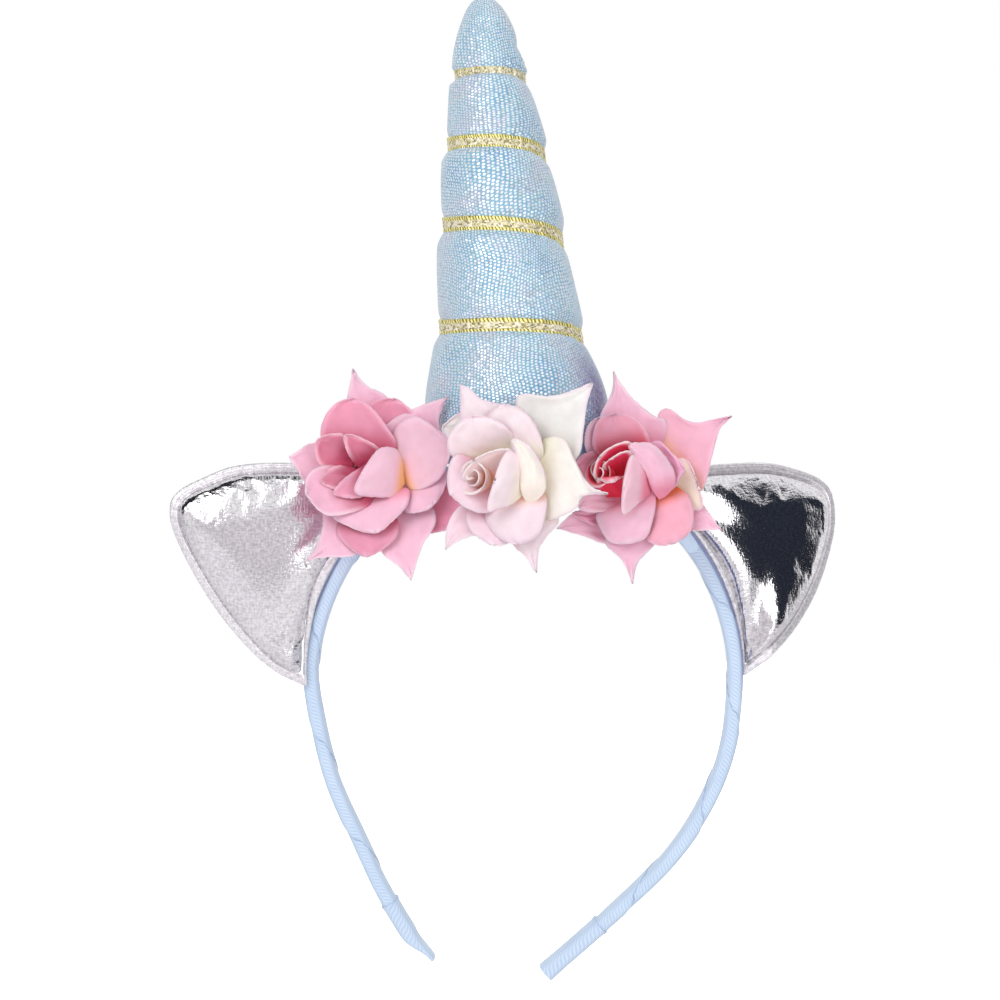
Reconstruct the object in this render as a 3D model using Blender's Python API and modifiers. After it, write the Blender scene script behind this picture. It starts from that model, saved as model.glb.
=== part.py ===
"""Unicorn horn headband: a ribbon-wrapped hoop band with a stuffed glitter horn, a gold spiral ribbon,
two padded metallic ears and three fabric roses.

Metres, +Z up, seen from -Y. The origin is where the head touches the underside of the band's crown.
"""

import math

import bmesh
import bpy
from mathutils import Matrix, Vector

# Clearance between pieces that touch.
GAP = 0.0003

# Band: a hoop wrapped in ribbon. Widths run front to back, thicknesses run inside to outside.
BAND_INNER_HALF_WIDTH = 0.0606
BAND_INNER_RISE = 0.0646
BAND_LEG_DROP = 0.0875
BAND_TILT_DEG = 5.3
BAND_WIDTH = 0.0090
BAND_TIP_WIDTH = 0.0074
BAND_THICKNESS = 0.0047
BAND_TIP_THICKNESS = 0.0045
BAND_CORNER = 0.0016

# Ribbon ends folded over the tips of the band, which is stepped down inside them.
WRAP_LENGTH = 0.0225
WRAP_WALL = 0.0010
STEP_LENGTH = 0.00002

# Horn: a stuffed cone, pinched by the ribbon that winds round it.
HORN_LENGTH = 0.1381
HORN_BASE_RADIUS = 0.0262
HORN_BULGE = 0.0018
HORN_GROOVE = 0.0007
HORN_BASE_X = -0.0012
HORN_LEAN_LEFT = 0.0106
HORN_LEAN_BACK = 0.0366
HORN_SEAT_DEPTH = 0.0012
# The share of the horn's lean that is straight. The rest bends back towards the tip.
HORN_STRAIGHT_LEAN = 0.72

# The horn's ribbon, how far outside it its channel is open, and the shape of the horn beside it: the
# groove's reach as a share of the ribbon's width, and the powers of the groove's edge and of the swell.
RIBBON_WIDTH = 0.0045
RIBBON_THICKNESS = 0.0010
CHANNEL_REACH = 0.0020
GROOVE_REACH = 0.55
GROOVE_POWER = 4
SWELL_POWER = 0.8

# Ears: padded, with a stitched rim all round, which laps over the front of the band at its lower end.
EAR_BASE = 0.0640
EAR_REACH = 0.0530
EAR_PUFF = 0.0060
EAR_RIM_WIDTH = 0.0028
EAR_RIM_THICKNESS = 0.0014
EAR_LAP = 0.0016

# Roses: layers of petals on a hidden calyx.
ROSE_RADIUS = 0.0320
ROSE_MIDDLE_RADIUS = 0.0205
ROSE_INNER_RADIUS = 0.0125
ROSE_BUD_RADIUS = 0.0062
ROSE_BUD_HEIGHT = 0.0165
# How far forward of its foot the rim of each layer stands, from the outer petals in.
ROSE_CUP = 0.0085
ROSE_MIDDLE_CUP = 0.0120
ROSE_INNER_CUP = 0.0130
ROSE_FLOOR_RADIUS = 0.0030
PETAL_THICKNESS = 0.0010
CALYX_RADIUS = 0.0020
CALYX_RIM_RADIUS = 0.0046
CALYX_RIM_THICKNESS = 0.0006
CALYX_FLARE_LENGTH = 0.0012

# An ear's padding from its middle out to its rim: share of the way, share of the puff.
EAR_SWELL = (
    {"share": 0.08, "swell": 1.00},
    {"share": 0.35, "swell": 0.96},
    {"share": 0.62, "swell": 0.82},
    {"share": 0.82, "swell": 0.58},
    {"share": 0.94, "swell": 0.28},
    {"share": 1.00, "swell": 0.00},
)
# How much of an ear's base laps over the band, from its lower end, and where along the base the rim is
# back in its own plane.
LAP_SHARE = 0.43
LAP_EASED = 0.90

# The legs below the widest level: share of the leg's drop, share of the half width on each side.
LEG_SHAPE = (
    {"drop": 0.195, "left": 0.946, "right": 0.983},
    {"drop": 0.39, "left": 0.853, "right": 0.900},
    {"drop": 0.58, "left": 0.712, "right": 0.752},
    {"drop": 0.78, "left": 0.550, "right": 0.520},
    {"drop": 1.00, "left": 0.330, "right": 0.240},
)

# The horn's ribbon: turns round the horn from the back near the tip, and how far down the horn it is.
# Whole turns are at the back, a quarter is the left side, a half the front and three quarters the right.
WINDING = (
    {"turn": 0.00, "down": 0.156},
    {"turn": 0.25, "down": 0.173},
    {"turn": 0.75, "down": 0.191},
    {"turn": 1.25, "down": 0.318},
    {"turn": 1.75, "down": 0.363},
    {"turn": 2.25, "down": 0.490},
    {"turn": 2.75, "down": 0.551},
    {"turn": 3.25, "down": 0.710},
    {"turn": 3.75, "down": 0.763},
    {"turn": 4.20, "down": 0.930},
)
# How far down the horn one turn goes beyond the ribbon's two ends.
END_PITCH = 0.16
# The share of the horn's length over which its lean and its winding's pitch are measured, each way.
PITCH_STEP = 0.005
LEAN_STEP = 0.01

# The horn's radius where the ribbon pinches it: share of the length from the tip, share of the base radius.
PINCH = (
    {"down": 0.176, "radius": 0.378},
    {"down": 0.341, "radius": 0.534},
    {"down": 0.520, "radius": 0.658},
    {"down": 0.736, "radius": 0.782},
    {"down": 0.900, "radius": 0.980},
    {"down": 1.000, "radius": 1.000},
)

# Each ear's outline from the lower end of its base, round its tip, to the upper end: share of the reach
# away from the band, share of half the base along the band.
LEFT_EAR_OUTLINE = (
    {"out": 0.07, "along": -0.94},
    {"out": 0.36, "along": -0.76},
    {"out": 0.62, "along": -0.51},
    {"out": 0.87, "along": -0.18},
    {"out": 0.96, "along": 0.04},
    {"out": 0.95, "along": 0.19},
    {"out": 0.88, "along": 0.35},
    {"out": 0.71, "along": 0.63},
    {"out": 0.39, "along": 0.90},
    {"out": 0.10, "along": 1.03},
)
RIGHT_EAR_OUTLINE = (
    {"out": 0.07, "along": -0.95},
    {"out": 0.34, "along": -0.86},
    {"out": 0.62, "along": -0.66},
    {"out": 0.89, "along": -0.33},
    {"out": 1.00, "along": -0.04},
    {"out": 0.98, "along": 0.14},
    {"out": 0.89, "along": 0.31},
    {"out": 0.70, "along": 0.56},
    {"out": 0.46, "along": 0.76},
    {"out": 0.18, "along": 0.94},
)

# Each ear: its side, the middle of its base as a share of the band from crown to tip, how far it turns
# back about its base, whether its lower end laps over the band, and how far behind the band's middle it
# lies elsewhere, as a share of the band's width.
EARS = (
    {
        "name": "ear_left", "side": -1, "seat": 0.383, "turn_deg": 0, "laps": True, "behind": -0.044,
        "outline": LEFT_EAR_OUTLINE,
    },
    {
        "name": "ear_right", "side": 1, "seat": 0.306, "turn_deg": 40, "laps": False, "behind": 0.156,
        "outline": RIGHT_EAR_OUTLINE,
    },
)

# Each rose: the middle of its outer layer, which lies at a share of the band from crown to tip, outside
# the band by a share of the rose's radius and in front of it by a share of the horn's base radius, where
# its calyx meets the band, which way the outer layer and the bud face (upwards and to the left), and the
# petals of its outer layer (angle, share of the radius).
ROSES = (
    {
        "name": "rose_left", "perch": -0.224, "outside": 0.389, "ahead": 0.496, "seat": -0.27,
        "faces": ({"up_deg": 20, "left_deg": 2}, {"up_deg": 34, "left_deg": 22}),
        "petals": ((47, 0.97), (102, 0.98), (171, 0.86), (233, 0.96), (292, 0.98), (350, 0.72)),
    },
    {
        "name": "rose_middle", "perch": -0.028, "outside": -0.037, "ahead": 1.088, "seat": 0.0,
        "faces": ({"up_deg": 9, "left_deg": 8}, {"up_deg": 12, "left_deg": 32}),
        "petals": ((54, 1.02), (124, 1.02), (172, 0.62), (223, 0.92), (277, 0.90), (349, 0.85)),
    },
    {
        "name": "rose_right", "perch": 0.141, "outside": 0.194, "ahead": 0.553, "seat": 0.25,
        "faces": ({"up_deg": 8, "left_deg": 2}, {"up_deg": 12, "left_deg": 30}),
        "petals": ((38, 0.98), (108, 1.00), (158, 0.66), (207, 0.90), (266, 0.92), (327, 0.84)),
    },
)

# A rose's layers from the back: mesh name, radius, share of the radius at the notches between petals,
# how far it stands forward at the rim, the power of its cup, and its petals where they are all alike.
LAYERS = (
    {
        "name": "outer_petals", "radius": ROSE_RADIUS, "notch": 0.62, "forward": ROSE_CUP,
        "power": 1.1, "count": 6,
    },
    {
        "name": "middle_petals", "radius": ROSE_MIDDLE_RADIUS, "notch": 0.84, "forward": ROSE_MIDDLE_CUP,
        "power": 0.9, "count": 5,
    },
    {
        "name": "inner_petals", "radius": ROSE_INNER_RADIUS, "notch": 0.86, "forward": ROSE_INNER_CUP,
        "power": 0.9, "count": 4,
    },
)
# Where a layer's rings are, from its floor to its rim, the power of a pointed petal's sides, and how much
# of a round petal's edge is full.
PETAL_RINGS = (0.30, 0.65, 1.00)
POINT_POWER = 0.75
ROUND_SHARE = 0.4
# Where the first petal of a layer of like petals is, and how far each layer is turned on from the last.
FIRST_PETAL_DEG = 90
LAYER_TURN_DEG = 40

# A folded ribbon end: share of its length from the tip, share of the band's thickness and width.
WRAP_SHAPE = (
    {"from_tip": 0.50, "scale": 1.00},
    {"from_tip": 0.11, "scale": 0.96},
    {"from_tip": 0.00, "scale": 0.62},
)

# A bud: how many petals are furled in it, how far they stand out, its twist in radians, and its rings
# from the foot: share of its height, share of its radius.
BUD_PETALS = 3
BUD_LOBE = 0.12
BUD_TWIST = 1.6
BUD = (
    {"up": 0.00, "out": 0.32},
    {"up": 0.25, "out": 0.62},
    {"up": 0.60, "out": 1.00},
    {"up": 0.85, "out": 0.92},
    {"up": 1.00, "out": 0.45},
)

# Steps of the meshes. The horn's rings start just below its tip and lie closer there.
ARCH_STEPS = 6
CURVE_STEPS = 8
BAND_STEPS = 24
HORN_RINGS = 28
HORN_SIDES = 24
HORN_FIRST_RING = 0.004
HORN_RING_POWER = 1.15
SEAT_SIDES = 72
RIBBON_STEPS_PER_TURN = 18
EAR_STEPS = 30
EAR_BASE_STEPS = 10
EAR_CURVE_STEPS = 4
PETAL_STEPS = 6
BUD_SIDES = 12
CALYX_SIDES = 10
SHARP_ANGLE_DEG = 50


def clear_scene():
    for obj in list(bpy.data.objects):
        bpy.data.objects.remove(obj)


def new_collection(name, shown=True):
    collection = bpy.data.collections.new(name)
    bpy.context.scene.collection.children.link(collection)
    collection.hide_render = not shown
    return collection


def new_material(name, colour, roughness, metallic=0.0):
    material = bpy.data.materials.new(name)
    material.use_nodes = True
    shader = material.node_tree.nodes["Principled BSDF"]
    shader.inputs["Base Color"].default_value = (*colour, 1.0)
    shader.inputs["Roughness"].default_value = roughness
    shader.inputs["Metallic"].default_value = metallic
    return material


def new_object(name, mesh, collection, material=None):
    obj = bpy.data.objects.new(name, mesh)
    collection.objects.link(obj)
    if material:
        mesh.materials.append(material)
    mesh.shade_smooth()
    mesh.set_sharp_from_angle(angle=math.radians(SHARP_ANGLE_DEG))
    return obj


def loft(name, rings, start_cap=True, end_cap=True):
    """A mesh skinned over closed rings of equally many points, closed at its ends where asked."""
    bm = bmesh.new()
    loops = [[bm.verts.new(point) for point in ring] for ring in rings]
    for lower, upper in zip(loops, loops[1:]):
        for i, corner in enumerate(lower):
            bm.faces.new((lower[i - 1], corner, upper[i], upper[i - 1]))
    if start_cap:
        bm.faces.new(reversed(loops[0]))
    if end_cap:
        bm.faces.new(loops[-1])
    bmesh.ops.recalc_face_normals(bm, faces=bm.faces)
    if bm.calc_volume(signed=True) < 0:
        bmesh.ops.reverse_faces(bm, faces=bm.faces)
    mesh = bpy.data.meshes.new(name)
    bm.to_mesh(mesh)
    bm.free()
    return mesh


def add_solidify(obj, thickness, offset):
    modifier = obj.modifiers.new("thickness", "SOLIDIFY")
    modifier.thickness = thickness
    modifier.offset = offset
    modifier.use_even_offset = True
    modifier.use_quality_normals = True
    return modifier


def smooth_value(rows, key, value, at):
    """The value of a table at a place between its rows, smoothed without overshoot."""
    places = [row[key] for row in rows]
    values = [row[value] for row in rows]
    slopes = [(b - a) / (q - p) for a, b, p, q in zip(values, values[1:], places, places[1:])]
    ends = [slopes[0]]
    for a, b in zip(slopes, slopes[1:]):
        ends.append(2 * a * b / (a + b) if a * b > 0 else 0.0)
    ends.append(slopes[-1])
    at = min(max(at, places[0]), places[-1])
    i = max(j for j in range(len(slopes)) if places[j] <= at)
    span = places[i + 1] - places[i]
    t = (at - places[i]) / span
    return (
        values[i] * (1 + 2 * t) * (1 - t) ** 2
        + values[i + 1] * t * t * (3 - 2 * t)
        + span * ends[i] * t * (1 - t) ** 2
        + span * ends[i + 1] * t * t * (t - 1)
    )


def spline(points, steps):
    """Points of a smooth curve through the given ones, with the same steps between each pair."""
    padded = [points[0] * 2 - points[1], *points, points[-1] * 2 - points[-2]]
    curve = []
    for a, b, c, d in zip(padded, padded[1:], padded[2:], padded[3:]):
        square = 2 * a - 5 * b + 4 * c - d
        cube = 3 * b - a - 3 * c + d
        for step in range(steps):
            t = step / steps
            curve.append(0.5 * (2 * b + (c - a) * t + square * t**2 + cube * t**3))
    return curve + [points[-1]]


class Band:
    """The band's centreline, as a plane curve walked by its share from crown (0) to tip (1 or -1)."""

    def __init__(self):
        half_width = BAND_INNER_HALF_WIDTH + BAND_THICKNESS / 2
        rise = BAND_INNER_RISE + BAND_THICKNESS / 2
        arch = [math.pi / 2 * step / ARCH_STEPS for step in range(ARCH_STEPS + 1)]
        self.paths = {}
        for side, column in ((-1, "left"), (1, "right")):
            points = [Vector((half_width * math.sin(a), rise * math.cos(a))) for a in arch]
            for row in LEG_SHAPE:
                points.append(Vector((half_width * row[column], -BAND_LEG_DROP * row["drop"])))
            path = spline(points, CURVE_STEPS)
            walked = [0.0]
            for a, b in zip(path, path[1:]):
                walked.append(walked[-1] + (b - a).length)
            self.paths[side] = (path, walked)
        self.length = self.paths[1][1][-1]
        self.turn = Matrix.Rotation(-math.radians(BAND_TILT_DEG), 2)
        self.centre = Vector((0.0, -BAND_INNER_RISE))

    def at(self, share):
        """(place, direction towards the tip, direction outwards) at a share of the band."""
        side = -1 if share < 0 else 1
        path, lengths = self.paths[side]
        walked = min(abs(share), 1.0) * lengths[-1]
        i = max(j for j in range(len(path) - 1) if lengths[j] <= walked + 1e-12)
        t = (walked - lengths[i]) / (lengths[i + 1] - lengths[i])
        before = path[i - 1] if i else Vector((-path[1].x, path[1].y))
        after = path[min(i + 2, len(path) - 1)]
        first = (path[i + 1] - before).normalized()
        last = (after - path[i]).normalized()
        along = (first * (1 - t) + last * t).normalized()
        place = path[i].lerp(path[i + 1], t)
        out = Vector((-along.y, along.x))
        if abs(share) < 1e-9:
            along, out = Vector((1.0, 0.0)), Vector((0.0, 1.0))
        flip = Vector((side, 1))
        place, along, out = (self.turn @ (v * flip) for v in (place, along, out))
        place += self.centre
        return tuple(Vector((v.x, 0.0, v.y)) for v in (place, along, out))

    def share_of(self, length):
        return length / self.length

    @staticmethod
    def thickness(share):
        return BAND_THICKNESS + (BAND_TIP_THICKNESS - BAND_THICKNESS) * max(0.0, 2 * abs(share) - 1)

    @staticmethod
    def width(share):
        return BAND_WIDTH + (BAND_TIP_WIDTH - BAND_WIDTH) * max(0.0, 2 * abs(share) - 1)


def section(place, out, thickness, width, corner):
    """A rounded rectangle across the band, with three points to each corner."""
    t, w = thickness / 2, width / 2
    corner = min(corner, 0.9 * t, 0.9 * w)
    cut = corner * (1 - math.sqrt(0.5))
    quarter = ((t, w - corner), (t - cut, w - cut), (t - corner, w))
    outline = list(quarter)
    outline += [(-a, b) for a, b in reversed(quarter)]
    outline += [(-a, -b) for a, b in quarter]
    outline += [(a, -b) for a, b in reversed(quarter)]
    return [place + out * a + Vector((0, b, 0)) for a, b in outline]


def build_band(band, collection, material):
    """The wrapped hoop. It is thinner inside the folded ends, so they fit over it."""
    wrap_start = 1 - band.share_of(WRAP_LENGTH)
    core_end = 1 - band.share_of(WRAP_WALL + GAP + BAND_TIP_THICKNESS / 2)
    shares = [wrap_start * step / BAND_STEPS for step in range(1, BAND_STEPS + 1)]
    inside = 2 * (WRAP_WALL + GAP)
    step_end = wrap_start + band.share_of(STEP_LENGTH)
    stations = [(share, 0.0) for share in shares]
    stations += [(step_end, inside), ((wrap_start + core_end) / 2, inside), (core_end, inside)]
    stations = [(-s, cut) for s, cut in reversed(stations)] + [(0.0, 0.0)] + stations
    rings = []
    for share, cut in stations:
        place, _, out = band.at(share)
        rings.append(section(place, out, band.thickness(share) - cut, band.width(share) - cut, BAND_CORNER))
    return new_object("band", loft("band", rings), collection, material)


def build_end_wrap(band, side, collection, material):
    """A ribbon end folded over a tip: a sleeve that is closed and rounded at the tip."""
    length = WRAP_LENGTH - GAP
    name = "end_wrap_left" if side < 0 else "end_wrap_right"
    stations = [(1 - band.share_of(length), 1.0)]
    stations += [(1 - band.share_of(length * row["from_tip"]), row["scale"]) for row in WRAP_SHAPE]
    rings = []
    for share, scale in stations:
        place, _, out = band.at(side * share)
        thickness = band.thickness(share) * scale
        width = band.width(share) * scale
        rings.append(section(place, out, thickness, width, BAND_CORNER))
    obj = new_object(name, loft(name, rings, start_cap=False), collection, material)
    add_solidify(obj, WRAP_WALL, -1)
    return obj


class Horn:
    """The horn's spine, its radius and the path of the ribbon that pinches it."""

    def __init__(self):
        self.base_z = BAND_THICKNESS + GAP - HORN_SEAT_DEPTH

    def spine(self, down):
        """The middle of the horn at a share of its length from the tip. It bends back towards the tip."""
        up = 1 - down
        back = HORN_LEAN_BACK * (HORN_STRAIGHT_LEAN * up + (1 - HORN_STRAIGHT_LEAN) * up * up)
        left = HORN_LEAN_LEFT * up
        height = math.sqrt(HORN_LENGTH**2 - HORN_LEAN_BACK**2 - HORN_LEAN_LEFT**2) * up
        return Vector((HORN_BASE_X - left, back, self.base_z + height))

    def axis(self, down):
        return (self.spine(down - LEAN_STEP) - self.spine(down + LEAN_STEP)).normalized()

    @staticmethod
    def turn_at(down):
        """Where the groove's spiral is, in turns from the ribbon's start, at a share of the way down."""
        inside = min(max(down, WINDING[0]["down"]), WINDING[-1]["down"])
        return smooth_value(WINDING, "down", "turn", inside) + (down - inside) / END_PITCH

    def ribbon_down(self, turn):
        """The share of the way down at which the spiral has made so many turns."""
        low, high = 0.0, 1.0
        for _ in range(30):
            middle = (low + high) / 2
            low, high = (middle, high) if self.turn_at(middle) < turn else (low, middle)
        return low

    def radius(self, down, around):
        """The horn's radius, swollen between the windings of the groove and domed at the tip."""
        tip = PINCH[0]["down"]
        radius = smooth_value(PINCH, "down", "radius", max(down, tip)) * HORN_BASE_RADIUS
        if down < tip:
            radius *= math.sqrt(max(0.0, 1 - (1 - down / tip) ** 2))
        phase = self.turn_at(down) - around
        pitch = 2 * PITCH_STEP / (self.turn_at(down + PITCH_STEP) - self.turn_at(down - PITCH_STEP))
        nearest = abs(phase - round(phase)) * pitch * HORN_LENGTH
        swell = HORN_BULGE * abs(math.sin(math.pi * phase)) ** SWELL_POWER
        groove = HORN_GROOVE * math.exp(-((nearest / (GROOVE_REACH * RIBBON_WIDTH)) ** GROOVE_POWER))
        return radius + (swell - groove) * min(1.0, (down / tip) ** 2)

    def point(self, down, around):
        return self.point_at(down, around, self.radius(down, around))

    def point_at(self, down, around, radius):
        """A point beside the spine: how far down, where round it in turns from the back, how far out."""
        axis = self.axis(down)
        right = (Vector((1, 0, 0)) - axis * axis.x).normalized()
        back = axis.cross(right)
        angle = 2 * math.pi * around
        radial = back * math.cos(angle) - right * math.sin(angle)
        return self.spine(down) + radial * radius


def build_horn(horn, collection, cutters, material):
    """The stuffed cone: flat below, seated over the band, with a channel where the ribbon presses in."""
    rings = []
    for ring in range(HORN_RINGS + 1):
        down = HORN_FIRST_RING + (1 - HORN_FIRST_RING) * (ring / HORN_RINGS) ** HORN_RING_POWER
        rings.append([horn.point(down, side / HORN_SIDES) for side in range(HORN_SIDES)])
    trim = horn.base_z - HORN_BASE_RADIUS / 2
    rings.append([Vector((p.x, p.y, min(p.z, trim))) for p in rings[-1]])
    obj = new_object("horn", loft("horn", rings), collection, material)
    floor = flat_cutter("horn_floor", horn.base_z, cutters)
    seat = arch_cutter("horn_seat", cutters)
    overrun = GAP / (2 * math.pi * horn.radius(WINDING[0]["down"], WINDING[0]["turn"]))
    depth = RIBBON_THICKNESS + CHANNEL_REACH
    pressed = strip_mesh("ribbon_channel", horn, RIBBON_WIDTH + 2 * GAP, -GAP, depth, overrun)
    channel = as_cutter(new_object("ribbon_channel", pressed, cutters))
    for cutter in (floor, seat, channel):
        modifier = obj.modifiers.new(cutter.name, "BOOLEAN")
        modifier.operation = "DIFFERENCE"
        modifier.object = cutter
    return obj


def as_cutter(obj):
    obj.hide_render = True
    obj.display_type = "WIRE"
    return obj


def flat_cutter(name, top, cutters):
    """A slab that levels what stands over it at a height."""
    bm = bmesh.new()
    bmesh.ops.create_cube(bm, size=1.0)
    reach = 4 * HORN_BASE_RADIUS
    bmesh.ops.scale(bm, vec=(reach, reach, reach), verts=bm.verts)
    bmesh.ops.translate(bm, vec=(0, 0, top - reach / 2), verts=bm.verts)
    mesh = bpy.data.meshes.new(name)
    bm.to_mesh(mesh)
    bm.free()
    return as_cutter(new_object(name, mesh, cutters))


def arch_cutter(name, cutters):
    """An oval drum that fills the arch out to the band's outside, as wide as the band with its clearance."""
    bm = bmesh.new()
    bmesh.ops.create_cone(
        bm, cap_ends=True, segments=SEAT_SIDES, radius1=1.0, radius2=1.0, depth=BAND_WIDTH + 2 * GAP
    )
    lie = Matrix.Rotation(math.radians(90), 4, "X")
    half = BAND_INNER_HALF_WIDTH + BAND_THICKNESS + GAP
    rise = BAND_INNER_RISE + BAND_THICKNESS + GAP
    stretch = Matrix.Diagonal((half, 1.0, rise, 1.0))
    tilt = Matrix.Rotation(math.radians(BAND_TILT_DEG), 4, "Y")
    place = Matrix.Translation((0, 0, -BAND_INNER_RISE))
    bmesh.ops.transform(bm, matrix=place @ tilt @ stretch @ lie, verts=bm.verts)
    mesh = bpy.data.meshes.new(name)
    bm.to_mesh(mesh)
    bm.free()
    return as_cutter(new_object(name, mesh, cutters))


def strip_mesh(name, horn, width, lift, thickness, overrun=0.0):
    """A strip wound along the ribbon's path: its width, height over the horn, thickness and extra turn."""
    first, last = WINDING[0]["turn"] - overrun, WINDING[-1]["turn"] + overrun
    steps = round((last - first) * RIBBON_STEPS_PER_TURN)
    half = width / 2 / HORN_LENGTH
    rings = []
    for step in range(steps + 1):
        turn = first + (last - first) * step / steps
        down = horn.ribbon_down(turn)
        level = horn.radius(down, turn)
        low, high = level + lift, level + lift + thickness
        corners = ((-half, low), (half, low), (half, high), (-half, high))
        rings.append([horn.point_at(down + across, turn, out) for across, out in corners])
    return loft(name, rings)


def build_ribbon(horn, collection, material):
    """The gold ribbon, which lies in the channel that it presses into the horn."""
    mesh = strip_mesh("horn_ribbon", horn, RIBBON_WIDTH, 0.0, RIBBON_THICKNESS)
    return new_object("horn_ribbon", mesh, collection, material)


class Ear:
    """One ear: where its outline runs, and where the plane of its rim lies."""

    def __init__(self, band, row):
        self.band = band
        self.row = row
        self.side = row["side"]
        self.turn = math.radians(row["turn_deg"])
        self.half = EAR_BASE / 2
        self.low, self.middle, self.high = (self.on_band(u) for u in (-1, 0, 1))
        self.along = (self.high - self.low).normalized()
        flat_out = Vector((self.along.z, 0, -self.along.x)) * self.side
        back = Vector((0, 1, 0))
        self.out = flat_out * math.cos(self.turn) + back * math.sin(self.turn)
        self.face = flat_out * math.sin(self.turn) - back * math.cos(self.turn)

    def on_band(self, along, lap=0.0):
        """A point just outside the band, or lapping over it, at a share of half the base from its middle."""
        share = self.side * (self.row["seat"] - along * self.band.share_of(self.half))
        place, _, out = self.band.at(share)
        clearance = GAP + EAR_RIM_THICKNESS / 2 * math.sin(self.turn)
        return place + out * (self.band.thickness(share) / 2 + clearance - lap)

    def lap(self, along):
        """How far the rim laps over the band: most at the lower end, none from near the middle."""
        share = (along + 1) / 2 / LAP_SHARE
        return EAR_LAP * max(0.0, 1 - share * share) if self.row["laps"] else 0.0

    def depth(self, point):
        """Where the rim's middle plane is, front to back: in front of the band where the rim laps it."""
        behind = self.row["behind"] * BAND_WIDTH
        if not self.row["laps"]:
            return behind
        lapped = -(BAND_WIDTH + EAR_RIM_THICKNESS) / 2 - GAP
        share = (point - self.low).dot(self.along) / (self.high - self.low).length
        share = min(max((share - LAP_SHARE) / (LAP_EASED - LAP_SHARE), 0), 1)
        return lapped + (behind - lapped) * share * share * (3 - 2 * share)

    def outline(self):
        """Closed outline with equal steps: along the band, then out round the tip and back."""
        places = [1 - 2 * step / EAR_BASE_STEPS for step in range(EAR_BASE_STEPS + 1)]
        base = [self.on_band(u, self.lap(u)) for u in places]
        free = [
            self.middle + self.out * (row["out"] * EAR_REACH) + self.along * (row["along"] * self.half)
            for row in self.row["outline"]
        ]
        loop = base + spline([base[-1], *free, base[0]], EAR_CURVE_STEPS)[1:]
        walked = [0.0]
        for a, b in zip(loop, loop[1:]):
            walked.append(walked[-1] + (b - a).length)
        found = []
        for step in range(EAR_STEPS):
            target = walked[-1] * step / EAR_STEPS
            i = max(j for j in range(len(loop) - 1) if walked[j] <= target)
            found.append(loop[i].lerp(loop[i + 1], (target - walked[i]) / (walked[i + 1] - walked[i])))
        return found


def build_ear(band, row, collection, material):
    """A padded ear: a flat stitched rim, and a crowned front and back."""
    ear = Ear(band, row)
    edge = ear.outline()
    centre = sum(edge, Vector()) / len(edge)
    spokes = [(point - centre).length for point in edge]
    rim = EAR_RIM_THICKNESS / 2
    rings = []
    for face in (1, -1):
        half = []
        for row_of_swell in EAR_SWELL:
            ring = []
            for point, spoke in zip(edge, spokes):
                inner = centre.lerp(point, row_of_swell["share"] * (1 - EAR_RIM_WIDTH / spoke))
                inner += Vector((0, ear.depth(inner), 0))
                ring.append(inner + ear.face * face * (rim + EAR_PUFF * row_of_swell["swell"]))
            half.append(ring)
        half.append([point + Vector((0, ear.depth(point), 0)) + ear.face * face * rim for point in edge])
        rings += half if face > 0 else reversed(half)
    return new_object(row["name"], loft(row["name"], rings), collection, material)


class Rose:
    """One rose's frame: its middle, and the way it faces, which turns from the outer layer to the bud."""

    def __init__(self, band, row):
        self.row = row
        perch, _, out = band.at(row["perch"])
        ahead = Vector((0, -row["ahead"] * HORN_BASE_RADIUS, 0))
        self.middle = perch + out * (row["outside"] * ROSE_RADIUS) + ahead

    def directions(self, layer):
        """(right, up, forward) of a layer by its number; the bud's number comes last."""
        share = layer / len(LAYERS)
        back, front = self.row["faces"]
        up = math.radians(back["up_deg"] + (front["up_deg"] - back["up_deg"]) * share)
        left = math.radians(back["left_deg"] + (front["left_deg"] - back["left_deg"]) * share)
        level = math.cos(up)
        forward = Vector((-math.sin(left) * level, -math.cos(left) * level, math.sin(up)))
        right = forward.cross(Vector((0, 0, 1))).normalized() * -1
        return right, forward.cross(right), forward

    def floor(self, layer):
        """The middle of a layer's back: each lies on the one behind with room for its tilt."""
        forward = self.directions(0)[2]
        return self.middle + forward * (GAP + layer * (PETAL_THICKNESS + 2 * GAP))

    def ring(self, layer, points):
        """World points of a layer from (angle, radius, forward) ones."""
        right, up, forward = self.directions(layer)
        floor = self.floor(layer)
        return [
            floor + (right * math.cos(angle) + up * math.sin(angle)) * radius + forward * lift
            for angle, radius, lift in points
        ]

    def petals(self, number, layer):
        """(angle, share of the radius) of each petal of a layer, in order round the rose."""
        if number == 0:
            return [(math.radians(angle), share) for angle, share in self.row["petals"]]
        start = math.radians(FIRST_PETAL_DEG + LAYER_TURN_DEG * number)
        return [(start + 2 * math.pi * i / layer["count"], 1.0) for i in range(layer["count"])]


def layer_edge(petals, notch, pointed):
    """(angle, reach) round a layer: full reach at each petal's tip and less at the notches."""
    edge = []
    for i, (angle, share) in enumerate(petals):
        after, after_share = petals[(i + 1) % len(petals)]
        after += 2 * math.pi if after <= angle else 0
        for step in range(PETAL_STEPS):
            t = step / PETAL_STEPS
            near = 2 * min(t, 1 - t)
            dip = near**POINT_POWER if pointed else max(0.0, near - ROUND_SHARE) / (1 - ROUND_SHARE)
            reach = (share + (after_share - share) * t) * (1 - (1 - notch) * dip)
            edge.append((angle + (after - angle) * t, reach))
    return edge


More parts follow.
